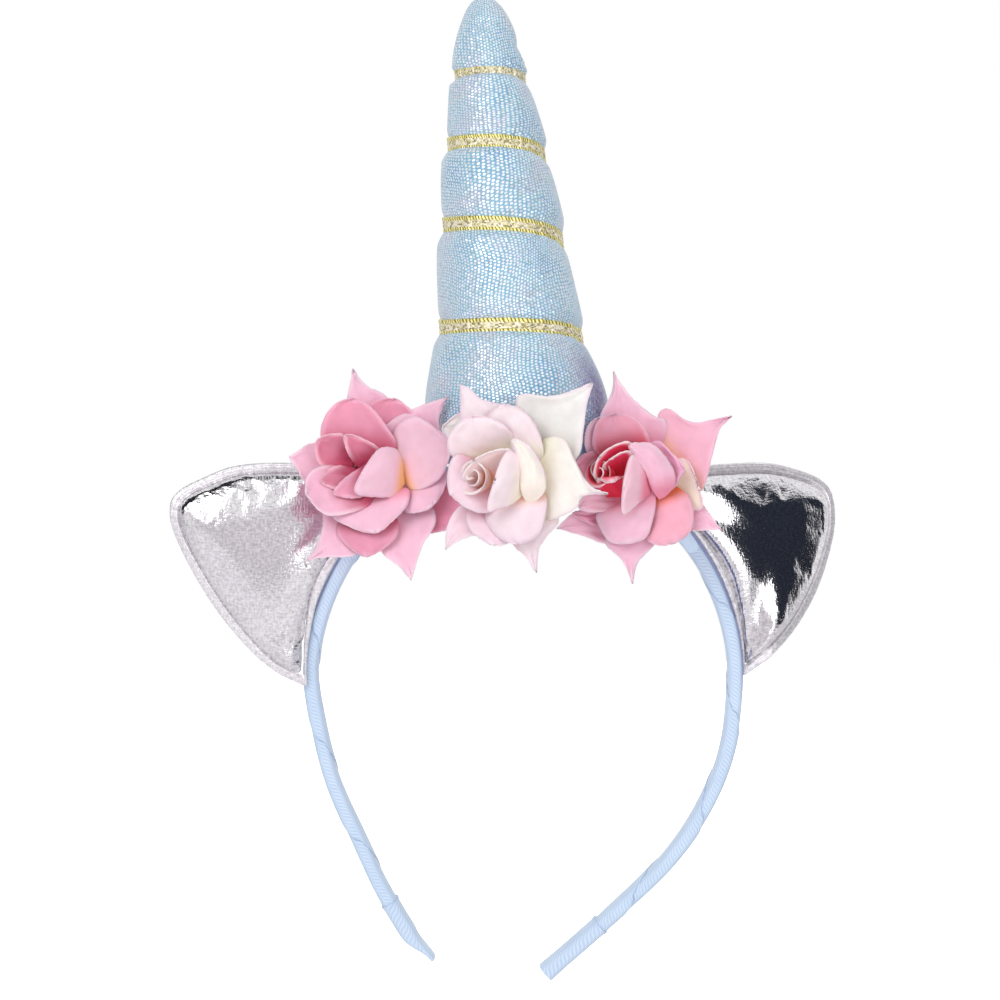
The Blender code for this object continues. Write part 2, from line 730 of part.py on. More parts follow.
def build_layer(rose, number, layer, collection, material):
    """One layer of petals: a cupped sheet with a flat floor and a tip at each petal."""
    name = f"{rose.row['name']}_{layer['name']}"
    edge = layer_edge(rose.petals(number, layer), layer["notch"], pointed=number == 0)
    rings = [[(angle, ROSE_FLOOR_RADIUS, 0.0) for angle, _ in edge]]
    for share in PETAL_RINGS:
        ring = []
        for angle, reach in edge:
            span = reach * layer["radius"] - ROSE_FLOOR_RADIUS
            lift = layer["forward"] * (share * reach) ** layer["power"]
            ring.append((angle, ROSE_FLOOR_RADIUS + span * share, lift))
        rings.append(ring)
    mesh = loft(name, [rose.ring(number, ring) for ring in rings], end_cap=False)
    obj = new_object(name, mesh, collection, material)
    forward = rose.directions(number)[2]
    faces_forward = sum(face.normal.dot(forward) for face in obj.data.polygons) > 0
    add_solidify(obj, PETAL_THICKNESS, 1 if faces_forward else -1)
    return obj


def build_bud(rose, collection, material):
    """The furled bud: a twisted cone of turned petals."""
    name = f"{rose.row['name']}_bud"
    rings = []
    for row in BUD:
        ring = []
        for step in range(BUD_SIDES):
            angle = 2 * math.pi * step / BUD_SIDES
            lobe = 1 + BUD_LOBE * math.cos(BUD_PETALS * angle)
            radius = ROSE_BUD_RADIUS * row["out"] * lobe
            ring.append((angle + BUD_TWIST * row["up"], radius, ROSE_BUD_HEIGHT * row["up"]))
        rings.append(rose.ring(len(LAYERS), ring))
    return new_object(name, loft(name, rings), collection, material)


def build_calyx(rose, band, horn, collection, material):
    """The hidden post from the band's front edge, under the horn's floor, to the back of the rose."""
    name = f"{rose.row['name']}_calyx"
    seat, _, _ = band.at(rose.row["seat"])
    under_horn = horn.base_z - CALYX_RADIUS - 2 * GAP
    foot = Vector((seat.x, -BAND_WIDTH / 2 - GAP, min(seat.z, under_horn)))
    right, up, forward = rose.directions(0)
    head = rose.middle - forward * CALYX_RIM_THICKNESS
    stations = (
        (foot, CALYX_RADIUS, 0.0),
        (head + (foot - head).normalized() * CALYX_FLARE_LENGTH, CALYX_RADIUS, 1.0),
        (head, CALYX_RIM_RADIUS, 1.0),
        (rose.middle, CALYX_RIM_RADIUS, 1.0),
    )
    rings = []
    for place, radius, turned in stations:
        across = Vector((1, 0, 0)).lerp(right, turned).normalized() * radius
        upwards = Vector((0, 0, 1)).lerp(up, turned).normalized() * radius
        angles = [2 * math.pi * step / CALYX_SIDES for step in range(CALYX_SIDES)]
        rings.append([place + across * math.cos(angle) + upwards * math.sin(angle) for angle in angles])
    return new_object(name, loft(name, rings), collection, material)


def build():
    clear_scene()
    parts = new_collection("unicorn_horn_headband")
    cutters = new_collection("cutters", shown=False)
    blue_ribbon = new_material("blue_grosgrain_ribbon", (0.57, 0.72, 0.90), 0.6)
    glitter = new_material("blue_glitter_fabric", (0.50, 0.68, 0.84), 0.35, 0.3)
    gold = new_material("gold_lurex_ribbon", (0.80, 0.66, 0.22), 0.35, 0.8)
    silver = new_material("silver_lame", (0.80, 0.79, 0.80), 0.2, 1.0)
    petal_colours = {
        "rose_left": new_material("pink_petal_cloth", (0.88, 0.42, 0.55), 0.8),
        "rose_middle": new_material("cream_petal_cloth", (0.93, 0.80, 0.80), 0.8),
        "rose_right": new_material("deep_pink_petal_cloth", (0.85, 0.35, 0.50), 0.8),
    }

    band = Band()
    build_band(band, parts, blue_ribbon)
    for side in (-1, 1):
        build_end_wrap(band, side, parts, blue_ribbon)
    horn = Horn()
    build_horn(horn, parts, cutters, glitter)
    build_ribbon(horn, parts, gold)
    for row in EARS:
        build_ear(band, row, parts, silver)
    for row in ROSES:
        rose = Rose(band, row)
        cloth = petal_colours[row["name"]]
        build_calyx(rose, band, horn, parts, cloth)
        for index, layer in enumerate(LAYERS):
            build_layer(rose, index, layer, parts, cloth)
        build_bud(rose, parts, cloth)


build()
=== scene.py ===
"""Looks of a unicorn horn headband: a hoop wrapped in grosgrain ribbon, a stuffed horn of foil-dot fabric
wound with gold ribbon, two padded ears of silver lamé and three fabric roses."""

import math

import bpy
import numpy as np
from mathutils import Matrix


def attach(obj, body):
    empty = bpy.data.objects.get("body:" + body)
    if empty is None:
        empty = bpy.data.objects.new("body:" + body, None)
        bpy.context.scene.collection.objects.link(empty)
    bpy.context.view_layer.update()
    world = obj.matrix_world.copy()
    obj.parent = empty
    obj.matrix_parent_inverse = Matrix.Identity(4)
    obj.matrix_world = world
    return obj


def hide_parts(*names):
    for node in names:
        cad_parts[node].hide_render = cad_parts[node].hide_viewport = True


bl_info = {
    "name": "Unicorn Horn Headband",
    "version": (1, 0, 0),
    "blender": (4, 5, 0),
    "location": "3D View > Sidebar > Headband",
    "description": "Models and finishes a fabric headband with a horn, ears and roses",
    "category": "Add Mesh",
}

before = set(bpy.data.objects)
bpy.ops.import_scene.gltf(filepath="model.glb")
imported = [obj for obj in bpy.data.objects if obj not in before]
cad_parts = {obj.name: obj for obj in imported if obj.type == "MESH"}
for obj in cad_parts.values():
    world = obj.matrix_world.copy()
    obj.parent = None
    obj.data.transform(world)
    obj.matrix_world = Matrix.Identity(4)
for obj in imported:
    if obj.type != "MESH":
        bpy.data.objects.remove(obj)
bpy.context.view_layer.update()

MM = 0.001
GAP = 0.3 * MM
# The height from which the roses' petals were drawn, in degrees over the front, and the radius that a rose
# had in that drawing.
SEEN_FROM_DEG = 9.0
DRAWN_RADIUS = 0.032
# The band's section is a rounded rectangle, a superellipse of this power.
SECTION_POWER = 3.4
# Where a turn of the band's ribbon starts, as a share of a turn.
FIRST_LAP = 0.62
# Where the camera aims: how far across, and how far down the view from the origin.
AIM_ACROSS = -0.00676
AIM_DOWN = 0.00941

# The legs below the hoop's widest level: share of the leg's drop, share of the half width on each side.
LEG_SHAPE = (
    {"drop": 0.195, "left": 0.946, "right": 0.983},
    {"drop": 0.39, "left": 0.853, "right": 0.900},
    {"drop": 0.58, "left": 0.712, "right": 0.752},
    {"drop": 0.78, "left": 0.550, "right": 0.520},
    {"drop": 1.00, "left": 0.330, "right": 0.240},
)

# Where the gold ribbon pinches the horn: turns from the back, share of the way down from the tip.
WINDING = (
    {"turn": 0.00, "down": 0.156},
    {"turn": 0.25, "down": 0.173},
    {"turn": 0.75, "down": 0.191},
    {"turn": 1.25, "down": 0.318},
    {"turn": 1.75, "down": 0.363},
    {"turn": 2.25, "down": 0.490},
    {"turn": 2.75, "down": 0.551},
    {"turn": 3.25, "down": 0.710},
    {"turn": 3.75, "down": 0.763},
    {"turn": 4.20, "down": 0.930},
)
END_PITCH = 0.16

# The horn's radius in the pinch: share of the way down, share of the base radius.
PINCH = (
    {"down": 0.176, "radius": 0.378},
    {"down": 0.341, "radius": 0.534},
    {"down": 0.520, "radius": 0.658},
    {"down": 0.736, "radius": 0.782},
    {"down": 0.900, "radius": 0.980},
    {"down": 1.000, "radius": 1.000},
)

# Each ear's free edge from its lower end round its tip: share of the reach, share of half the base.
LEFT_EAR_EDGE = (
    {"out": 0.07, "along": -0.94},
    {"out": 0.36, "along": -0.76},
    {"out": 0.62, "along": -0.51},
    {"out": 0.87, "along": -0.18},
    {"out": 0.96, "along": 0.04},
    {"out": 0.95, "along": 0.19},
    {"out": 0.88, "along": 0.35},
    {"out": 0.71, "along": 0.63},
    {"out": 0.39, "along": 0.90},
    {"out": 0.10, "along": 1.03},
)
RIGHT_EAR_EDGE = (
    {"out": 0.07, "along": -0.95},
    {"out": 0.34, "along": -0.86},
    {"out": 0.62, "along": -0.66},
    {"out": 0.89, "along": -0.33},
    {"out": 1.00, "along": -0.04},
    {"out": 0.98, "along": 0.14},
    {"out": 0.89, "along": 0.31},
    {"out": 0.70, "along": 0.56},
    {"out": 0.46, "along": 0.76},
    {"out": 0.18, "along": 0.94},
)

# Each ear: its side, the share of the hoop where the middle of its base is, how far it turns back, whether
# its lower end laps over the front of the hoop, and how far behind the hoop's middle it lies elsewhere.
EARS = (
    {"node": "ear_left", "side": -1, "seat": 0.383, "turn_deg": 0, "laps": True, "behind": -0.044,
     "edge": LEFT_EAR_EDGE},
    {"node": "ear_right", "side": 1, "seat": 0.306, "turn_deg": 40, "laps": False, "behind": 0.156,
     "edge": RIGHT_EAR_EDGE},
)
LAP_SHARE = 0.43
LAP_EASED = 0.90

# An ear's padding rises over this many metres from its seam, as a quarter of an ellipse.
EAR_SHOULDER = 0.013


def srgb(hex_colour):
    """An sRGB hex colour as the three values of a colour property."""
    return tuple(int(hex_colour[i:i + 2], 16) / 255 for i in (1, 3, 5))


def linear(hex_colour):
    """An sRGB hex colour as linear red, green, blue and full alpha."""
    parts = srgb(hex_colour)
    return tuple(c / 12.92 if c <= 0.04045 else ((c + 0.055) / 1.055) ** 2.4 for c in parts) + (1.0,)


def hex_of(colour):
    """The sRGB hex form of a colour property, which holds sRGB values."""
    return "#" + "".join(f"{round(c * 255):02X}" for c in colour[:3])


def table_curve(rows, key, value):
    """A smooth curve through a table's rows without overshoot, as a function of arrays."""
    places = np.array([row[key] for row in rows])
    values = np.array([row[value] for row in rows])
    slopes = np.diff(values) / np.diff(places)
    ends = [slopes[0]]
    for a, b in zip(slopes, slopes[1:]):
        ends.append(2 * a * b / (a + b) if a * b > 0 else 0.0)
    ends = np.array([*ends, slopes[-1]])

    def curve(at):
        at = np.clip(at, places[0], places[-1])
        i = np.clip(np.searchsorted(places, at, side="right") - 1, 0, len(slopes) - 1)
        span = places[i + 1] - places[i]
        t = (at - places[i]) / span
        return (
            values[i] * (1 + 2 * t) * (1 - t) ** 2
            + values[i + 1] * t * t * (3 - 2 * t)
            + span * ends[i] * t * (1 - t) ** 2
            + span * ends[i + 1] * t * t * (t - 1)
        )

    return curve


def spline(points, steps):
    """Points of a smooth curve through the given ones."""
    padded = [2 * points[0] - points[1], *points, 2 * points[-1] - points[-2]]
    curve = []
    for a, b, c, d in zip(padded, padded[1:], padded[2:], padded[3:]):
        for t in np.arange(steps) / steps:
            square = 2 * a - 5 * b + 4 * c - d
            cube = 3 * b - a - 3 * c + d
            curve.append(0.5 * (2 * b + (c - a) * t + square * t**2 + cube * t**3))
    return np.array([*curve, points[-1]])


def smooth_step(low, high, value):
    """0 below low, 1 above high, and eased between."""
    t = np.clip((value - low) / (high - low), 0.0, 1.0)
    return t * t * (3 - 2 * t)


def unit(vectors):
    """The vectors, each 1 long."""
    return vectors / np.linalg.norm(vectors, axis=-1, keepdims=True)


# Meshes


def points_of(obj):
    """An object's vertices as an array."""
    flat = np.empty(len(obj.data.vertices) * 3)
    obj.data.vertices.foreach_get("co", flat)
    return flat.reshape(-1, 3)


def place_points(obj, points):
    """Moves an object's vertices to the points."""
    obj.data.vertices.foreach_set("co", np.asarray(points, float).ravel())
    obj.data.update()


def laid_sheet(name, columns, rows, place, dye_and_painted_light=None, tube=False):
    """A grid primitive laid where place(across, along) says, both of them from 0 to 1.
    The colour function, called with (across, along), gives its points' colours, dye and painted light.
    A tube's two long sides are merged."""
    bpy.ops.object.select_all(action="DESELECT")
    bpy.ops.mesh.primitive_grid_add(x_subdivisions=columns, y_subdivisions=rows, size=1.0, calc_uvs=True)
    obj = bpy.context.object
    obj.name = name
    obj.data.name = name
    flat = points_of(obj)
    across, along = flat[:, 0] + 0.5, flat[:, 1] + 0.5
    place_points(obj, place(across, along))
    if dye_and_painted_light:
        layer = obj.data.attributes.new("dye_and_painted_light", "FLOAT_COLOR", "POINT")
        layer.data.foreach_set("color", dye_and_painted_light(across, along).ravel())
    if tube:
        bpy.ops.object.mode_set(mode="EDIT")
        bpy.ops.mesh.select_all(action="SELECT")
        bpy.ops.mesh.remove_doubles(threshold=0.002 * MM)
        bpy.ops.mesh.normals_make_consistent(inside=False)
        bpy.ops.object.mode_set(mode="OBJECT")
    bpy.ops.object.shade_smooth()
    return obj


def weld(obj, distance):
    """Merges points that lie closer together than this."""
    bpy.context.view_layer.objects.active = obj
    bpy.ops.object.mode_set(mode="EDIT")
    bpy.ops.mesh.select_all(action="SELECT")
    bpy.ops.mesh.remove_doubles(threshold=distance)
    bpy.ops.object.mode_set(mode="OBJECT")


def lay_uv(obj, to_mm):
    """Replaces a sheet's 0 to 1 UVs with what to_mm(across, along) gives, in millimetres of cloth."""
    layer = obj.data.uv_layers.active.data
    flat = np.empty(len(layer) * 2)
    layer.foreach_get("uv", flat)
    across, along = flat.reshape(-1, 2).T
    layer.foreach_set("uv", np.column_stack(to_mm(across, along)).ravel())


def project_uv(obj, origin, right, up):
    """Gives a mesh a UV map in millimetres on the plane through origin."""
    if not obj.data.uv_layers:
        obj.data.uv_layers.new(name="UVMap")
    corners = np.empty(len(obj.data.loops), int)
    obj.data.loops.foreach_get("vertex_index", corners)
    offset = (points_of(obj)[corners] - origin) / MM
    obj.data.uv_layers.active.data.foreach_set("uv", np.column_stack((offset @ right, offset @ up)).ravel())


def apply_modifier(obj, name, kind, **settings):
    """Adds a modifier and applies it at once."""
    bpy.ops.object.select_all(action="DESELECT")
    obj.select_set(True)
    bpy.context.view_layer.objects.active = obj
    modifier = obj.modifiers.new(name, kind)
    for key, value in settings.items():
        setattr(modifier, key, value)
    bpy.ops.object.modifier_apply(modifier=modifier.name)


def join(objects, name):
    """Joins objects into the first of them."""
    bpy.ops.object.select_all(action="DESELECT")
    for obj in objects:
        obj.select_set(True)
    bpy.context.view_layer.objects.active = objects[0]
    bpy.ops.object.join()
    objects[0].name = name
    objects[0].data.name = name
    return objects[0]


def finish_piece(obj, material, slot, *nodes):
    """Gives a piece its finish, and lets it stand for its CAD nodes."""
    obj.data.materials.clear()
    obj.data.materials.append(material)
    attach(obj, "root")
    if nodes:
        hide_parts(*nodes)
    return obj


# Materials


def node(tree, kind, values=None, links=None, **settings):
    """Adds a node with its settings, its inputs' values and its links."""
    made = tree.nodes.new(kind)
    for key, value in settings.items():
        setattr(made, key, value)
    for key, value in (values or {}).items():
        made.inputs[key].default_value = value
    for key, socket in (links or {}).items():
        tree.links.new(made.inputs[key], socket)
    return made


def set_stops(ramp, stops):
    """Gives a colour ramp its stops, each a place from 0 to 1 and an sRGB hex colour, from low to high."""
    first, *between, last = stops
    for element, (place, colour) in zip(list(ramp.elements), (first, last)):
        element.position = place
        element.color = linear(colour)
    for place, colour in between:
        ramp.elements.new(place).color = linear(colour)


def new_finish(name, values):
    """A material, its node tree and its shader, whose constant sockets are set."""
    material = bpy.data.materials.new(name)
    material.use_nodes = True
    tree = material.node_tree
    shader = tree.nodes["Principled BSDF"]
    for key, value in values.items():
        shader.inputs[key].default_value = value
    return material, tree, shader


def grosgrain_finish(name, colours):
    """Grosgrain: a woven polyester ribbon whose weft ribs show as fine ridges and catch a soft sheen."""
    material, tree, shader = new_finish(
        name, {"Roughness": 0.55, "Sheen Weight": 0.35, "Sheen Roughness": 0.4, "Specular IOR Level": 0.35}
    )
    # Ribs are 1 mm apart. The UV runs in millimetres, and the ribs lie across the slanting ribbon.
    uv = node(tree, "ShaderNodeUVMap", uv_map="UVMap")
    turned = node(
        tree, "ShaderNodeMapping", {"Rotation": (0, 0, math.radians(colours.rib_slant_deg))},
        {"Vector": uv.outputs["UV"]},
    )
    ribs = node(
        tree, "ShaderNodeTexWave",
        {"Scale": 2 * math.pi / (20 * colours.rib_pitch_mm), "Distortion": 0.08, "Detail": 1.0,
         "Detail Scale": 0.6},
        {"Vector": turned.outputs["Vector"]}, bands_direction="X",
    )
    mottle = node(
        tree, "ShaderNodeTexNoise", {"Scale": 0.12, "Detail": 3.0}, {"Vector": uv.outputs["UV"]}
    )
    shade = node(
        tree, "ShaderNodeMix",
        {"A": linear(hex_of(colours.ribbon_dark)), "B": linear(hex_of(colours.ribbon_light))},
        {"Factor": mottle.outputs["Fac"]}, data_type="RGBA",
    )
    # The troughs between the ribs are darkened with painted shade.
    painted_trough_shade = node(tree, "ShaderNodeMath", {1: 0.40}, {0: ribs.outputs["Fac"]}, operation="MULTIPLY")
    ribbed = node(
        tree, "ShaderNodeMix", {"B": linear("#A9C8E8")},
        {"Factor": painted_trough_shade.outputs["Value"], "A": shade.outputs["Result"]}, data_type="RGBA",
        blend_type="MULTIPLY",
    )
    bump = node(
        tree, "ShaderNodeBump", {"Strength": 0.25, "Distance": 0.12 * MM}, {"Height": ribs.outputs["Fac"]},
        invert=True,
    )
    # The attribute holds painted shade: dark lines under the lapped edges and the cuffs' lips, and lilac on
    # the band's outer corner beside the ears.
    laps = node(tree, "ShaderNodeAttribute", attribute_name="dye_and_painted_light")
    painted_shading = node(
        tree, "ShaderNodeMix", {"Factor": 1.0}, {"A": ribbed.outputs["Result"], "B": laps.outputs["Color"]},
        data_type="RGBA", blend_type="MULTIPLY",
    )
    tree.links.new(shader.inputs["Base Color"], painted_shading.outputs["Result"])
    tree.links.new(shader.inputs["Normal"], bump.outputs["Normal"])
    return material


def foil_dot_finish(name, colours):
    """Foil-dot knit: a soft blue knit printed with rows of small round foil dots, each a tiny mirror that
    tilts its own way and is tinted by interference."""
    material, tree, shader = new_finish(
        name, {"Sheen Weight": 0.25, "Sheen Roughness": 0.5, "Specular IOR Level": 0.5}
    )
    pitch = colours.dot_pitch_mm
    uv = node(tree, "ShaderNodeUVMap", uv_map="UVMap")
    # The knit stretches, so the rows of dots wander by a millimetre or two every 18 mm.
    wander = node(tree, "ShaderNodeTexNoise", {"Scale": 0.055, "Detail": 0.0}, {"Vector": uv.outputs["UV"]})
    centred = node(
        tree, "ShaderNodeVectorMath", {1: (0.5, 0.5, 0.5)}, {0: wander.outputs["Color"]}, operation="SUBTRACT"
    )
    warped = node(
        tree, "ShaderNodeVectorMath", {1: (6.0, 6.0, 0.0)},
        {0: centred.outputs["Vector"], 2: uv.outputs["UV"]}, operation="MULTIPLY_ADD",
    )
    scaled = node(
        tree, "ShaderNodeVectorMath", {1: (1 / pitch, 1 / (0.88 * pitch), 0.0)},
        {0: warped.outputs["Vector"]}, operation="MULTIPLY",
    )
    parts = node(tree, "ShaderNodeSeparateXYZ", links={"Vector": scaled.outputs["Vector"]})
    between = node(tree, "ShaderNodeMath", {1: 0.42}, {0: parts.outputs["X"]}, operation="ADD")
    row = node(tree, "ShaderNodeMath", links={0: between.outputs["Value"]}, operation="FLOOR")
    odd = node(tree, "ShaderNodeMath", {1: 2.0}, {0: row.outputs["Value"]}, operation="FLOORED_MODULO")
    staggered = node(
        tree, "ShaderNodeMath", {1: 0.5}, {0: odd.outputs["Value"], 2: parts.outputs["Y"]},
        operation="MULTIPLY_ADD",
    )
    lattice = node(
        tree, "ShaderNodeCombineXYZ", links={"X": parts.outputs["X"], "Y": staggered.outputs["Value"]}
    )
    dots = node(
        tree, "ShaderNodeTexVoronoi", {"Scale": 1.0, "Randomness": 0.28},
        {"Vector": lattice.outputs["Vector"]}, voronoi_dimensions="2D",
    )
    dot = node(
        tree, "ShaderNodeMapRange", {"From Min": 0.38, "From Max": 0.29, "To Min": 0.0, "To Max": 1.0},
        {"Value": dots.outputs["Distance"]}, interpolation_type="SMOOTHSTEP",
    )
    # The knit's own blue drifts between sky, grey and lilac over a few centimetres.
    drift = node(tree, "ShaderNodeTexNoise", {"Scale": 0.07, "Detail": 2.0}, {"Vector": uv.outputs["UV"]})
    knit = node(tree, "ShaderNodeValToRGB", links={"Fac": drift.outputs["Fac"]})
    set_stops(knit.color_ramp, (
        (0.34, hex_of(colours.knit_deep)), (0.5, hex_of(colours.knit_sky)),
        (0.66, hex_of(colours.knit_lilac)),
    ))
    tint = node(
        tree, "ShaderNodeMix", {"Factor": 0.30, "A": linear(hex_of(colours.foil))},
        {"B": dots.outputs["Color"]}, data_type="RGBA",
    )
    tinted = node(
        tree, "ShaderNodeMix", {"Factor": 0.55, "B": linear(hex_of(colours.foil))},
        {"A": tint.outputs["Result"]}, data_type="RGBA", blend_type="LIGHTEN",
    )
    shade = node(
        tree, "ShaderNodeMix",
        links={"Factor": dot.outputs["Result"], "A": knit.outputs["Color"], "B": tinted.outputs["Result"]},
        data_type="RGBA",
    )
    metal = node(
        tree, "ShaderNodeMapRange", {"To Min": 0.0, "To Max": 0.22}, {"Value": dot.outputs["Result"]}
    )
    gloss = node(
        tree, "ShaderNodeMapRange", {"To Min": 0.50, "To Max": 0.20}, {"Value": dot.outputs["Result"]}
    )
    # Each dot is turned a little, so that neighbours mirror different parts of the room.
    geometry = node(tree, "ShaderNodeNewGeometry")
    off = node(
        tree, "ShaderNodeVectorMath", {1: (0.5, 0.5, 0.5)}, {0: dots.outputs["Color"]}, operation="SUBTRACT"
    )
    tilted = node(
        tree, "ShaderNodeVectorMath", {1: (0.42, 0.42, 0.42)},
        {0: off.outputs["Vector"], 2: geometry.outputs["Normal"]}, operation="MULTIPLY_ADD",
    )
    facing = node(tree, "ShaderNodeVectorMath", links={0: tilted.outputs["Vector"]}, operation="NORMALIZE")
    bump = node(
        tree, "ShaderNodeBump", {"Strength": 0.35, "Distance": 0.12 * MM},
        {"Height": dot.outputs["Result"], "Normal": facing.outputs["Vector"]},
    )
    # A violet painted shade at the foot, where the cloth curves in beside the right rose.
    dye_and_painted_light = node(tree, "ShaderNodeAttribute", attribute_name="dye_and_painted_light")
    turned = node(
        tree, "ShaderNodeMix", {"Factor": 1.0}, {"A": shade.outputs["Result"], "B": dye_and_painted_light.outputs["Color"]},
        data_type="RGBA", blend_type="MULTIPLY",
    )
    tree.links.new(shader.inputs["Base Color"], turned.outputs["Result"])
    tree.links.new(shader.inputs["Metallic"], metal.outputs["Result"])
    tree.links.new(shader.inputs["Roughness"], gloss.outputs["Result"])
    tree.links.new(shader.inputs["Normal"], bump.outputs["Normal"])
    return material


def lurex_finish(name, colours):
    """Lurex ribbon: flat gold metallised yarn woven with pale thread, between two bright looped selvedges."""
    material, tree, shader = new_finish(name, {"Metallic": 0.45})
    # The UV holds millimetres along the ribbon and the share across it, from -1 to 1.
    uv = node(tree, "ShaderNodeUVMap", uv_map="UVMap")
    parts = node(tree, "ShaderNodeSeparateXYZ", links={"Vector": uv.outputs["UV"]})
    edge = node(tree, "ShaderNodeMath", links={0: parts.outputs["Y"]}, operation="ABSOLUTE")
    selvedge = node(
        tree, "ShaderNodeMapRange", {"From Min": 0.36, "From Max": 0.46}, {"Value": edge.outputs["Value"]},
        interpolation_type="SMOOTHSTEP",
    )
    # The selvedge's loops lean and are 0.6 mm apart, drawn 0.9 mm apart so that they show. The flat yarns
    # between them are 0.7 mm long and 0.4 mm wide.
    leaning = node(
        tree, "ShaderNodeMapping", {"Scale": (1.0, 2.2, 1.0), "Rotation": (0, 0, 0.35)},
        {"Vector": uv.outputs["UV"]},
    )
    hoops = node(
        tree, "ShaderNodeTexWave",
        {"Scale": 2 * math.pi / (20 * 0.9), "Distortion": 2.6, "Detail": 1.0, "Detail Scale": 1.6},
        {"Vector": leaning.outputs["Vector"]}, bands_direction="X",
    )
    yarns = node(
        tree, "ShaderNodeMapping", {"Scale": (1.5, 5.6, 1.0), "Rotation": (0, 0, -0.10)},
        {"Vector": uv.outputs["UV"]},
    )
    flecks = node(
        tree, "ShaderNodeTexVoronoi", {"Scale": 1.0, "Randomness": 0.75}, {"Vector": yarns.outputs["Vector"]},
        voronoi_dimensions="2D",
    )
    grey = node(tree, "ShaderNodeSeparateColor", links={"Color": flecks.outputs["Color"]})
    # The loops run from gold dark, painted shade between them, to gold bright and #FFFBB8, a painted glint.
    loops = node(tree, "ShaderNodeValToRGB", links={"Fac": hoops.outputs["Fac"]})
    set_stops(loops.color_ramp, (
        (0.0, hex_of(colours.gold_dark)), (0.28, hex_of(colours.gold)), (0.55, hex_of(colours.gold_bright)),
        (1.0, "#FFFBB8"),
    ))
    middle = node(tree, "ShaderNodeValToRGB", links={"Fac": grey.outputs["Green"]})
    set_stops(middle.color_ramp, ((0.0, "#8F8350"), (0.40, "#D6CC9A"), (1.0, "#FFF9EC")))
    shade = node(
        tree, "ShaderNodeMix",
        links={
            "Factor": selvedge.outputs["Result"], "A": middle.outputs["Color"], "B": loops.outputs["Color"],
        },
        data_type="RGBA",
    )
    gloss = node(
        tree, "ShaderNodeMapRange", {"To Min": 0.45, "To Max": 0.30}, {"Value": selvedge.outputs["Result"]}
    )
    bump = node(
        tree, "ShaderNodeBump", {"Strength": 0.7, "Distance": 0.25 * MM},
        {"Height": flecks.outputs["Distance"]}, invert=True,
    )
    tree.links.new(shader.inputs["Base Color"], shade.outputs["Result"])
    tree.links.new(shader.inputs["Roughness"], gloss.outputs["Result"])
    tree.links.new(shader.inputs["Normal"], bump.outputs["Normal"])
    return material


def lame_finish(name, colours, metallic, roughness):
    """Silver lamé: foil bonded to a fine plain weave, a mirror that the threads break up into a grid."""
    material, tree, shader = new_finish(name, {"Metallic": metallic, "Roughness": roughness})
    uv = node(tree, "ShaderNodeUVMap", uv_map="UVMap")
    # Threads are 0.25 mm apart, too fine to show, so the slubs of a few threads, 0.6 mm, stand for them.
    turned = node(
        tree, "ShaderNodeMapping", {"Rotation": (0, 0, math.radians(24))}, {"Vector": uv.outputs["UV"]}
    )
    fine, coarse = 1 / colours.thread_pitch_mm, 0.4 / colours.thread_pitch_mm
    slubs = []
    for scale in ((fine, coarse, 1.0), (coarse, fine, 1.0)):
        laid = node(
            tree, "ShaderNodeVectorMath", {1: scale}, {0: turned.outputs["Vector"]}, operation="MULTIPLY"
        )
        slubs.append(node(
            tree, "ShaderNodeTexNoise", {"Scale": 1.0, "Detail": 2.0, "Roughness": 0.5},
            {"Vector": laid.outputs["Vector"]},
        ))
    cloth = node(
        tree, "ShaderNodeMath", links={i: slub.outputs["Fac"] for i, slub in enumerate(slubs)},
        operation="ADD",
    )
    bump = node(
        tree, "ShaderNodeBump", {"Strength": 0.45, "Distance": 0.16 * MM}, {"Height": cloth.outputs["Value"]}
    )
    mottle = node(tree, "ShaderNodeTexNoise", {"Scale": 0.05, "Detail": 2.0}, {"Vector": uv.outputs["UV"]})
    shade = node(
        tree, "ShaderNodeMix",
        {"A": linear(hex_of(colours.silver)), "B": linear(hex_of(colours.silver_shade))},
        {"Factor": mottle.outputs["Fac"]}, data_type="RGBA",
    )
    # The foil is darker between the threads and a little lighter on the raised ones.
    thread_height_tone = node(
        tree, "ShaderNodeMapRange", {"From Min": 0.72, "From Max": 1.22, "To Min": 0.72, "To Max": 1.08},
        {"Value": cloth.outputs["Value"]},
    )
    rubbed = node(
        tree, "ShaderNodeVectorMath", links={0: shade.outputs["Result"], "Scale": thread_height_tone.outputs["Result"]},
        operation="SCALE",
    )
    tree.links.new(shader.inputs["Base Color"], rubbed.outputs["Vector"])
    tree.links.new(shader.inputs["Normal"], bump.outputs["Normal"])
    return material


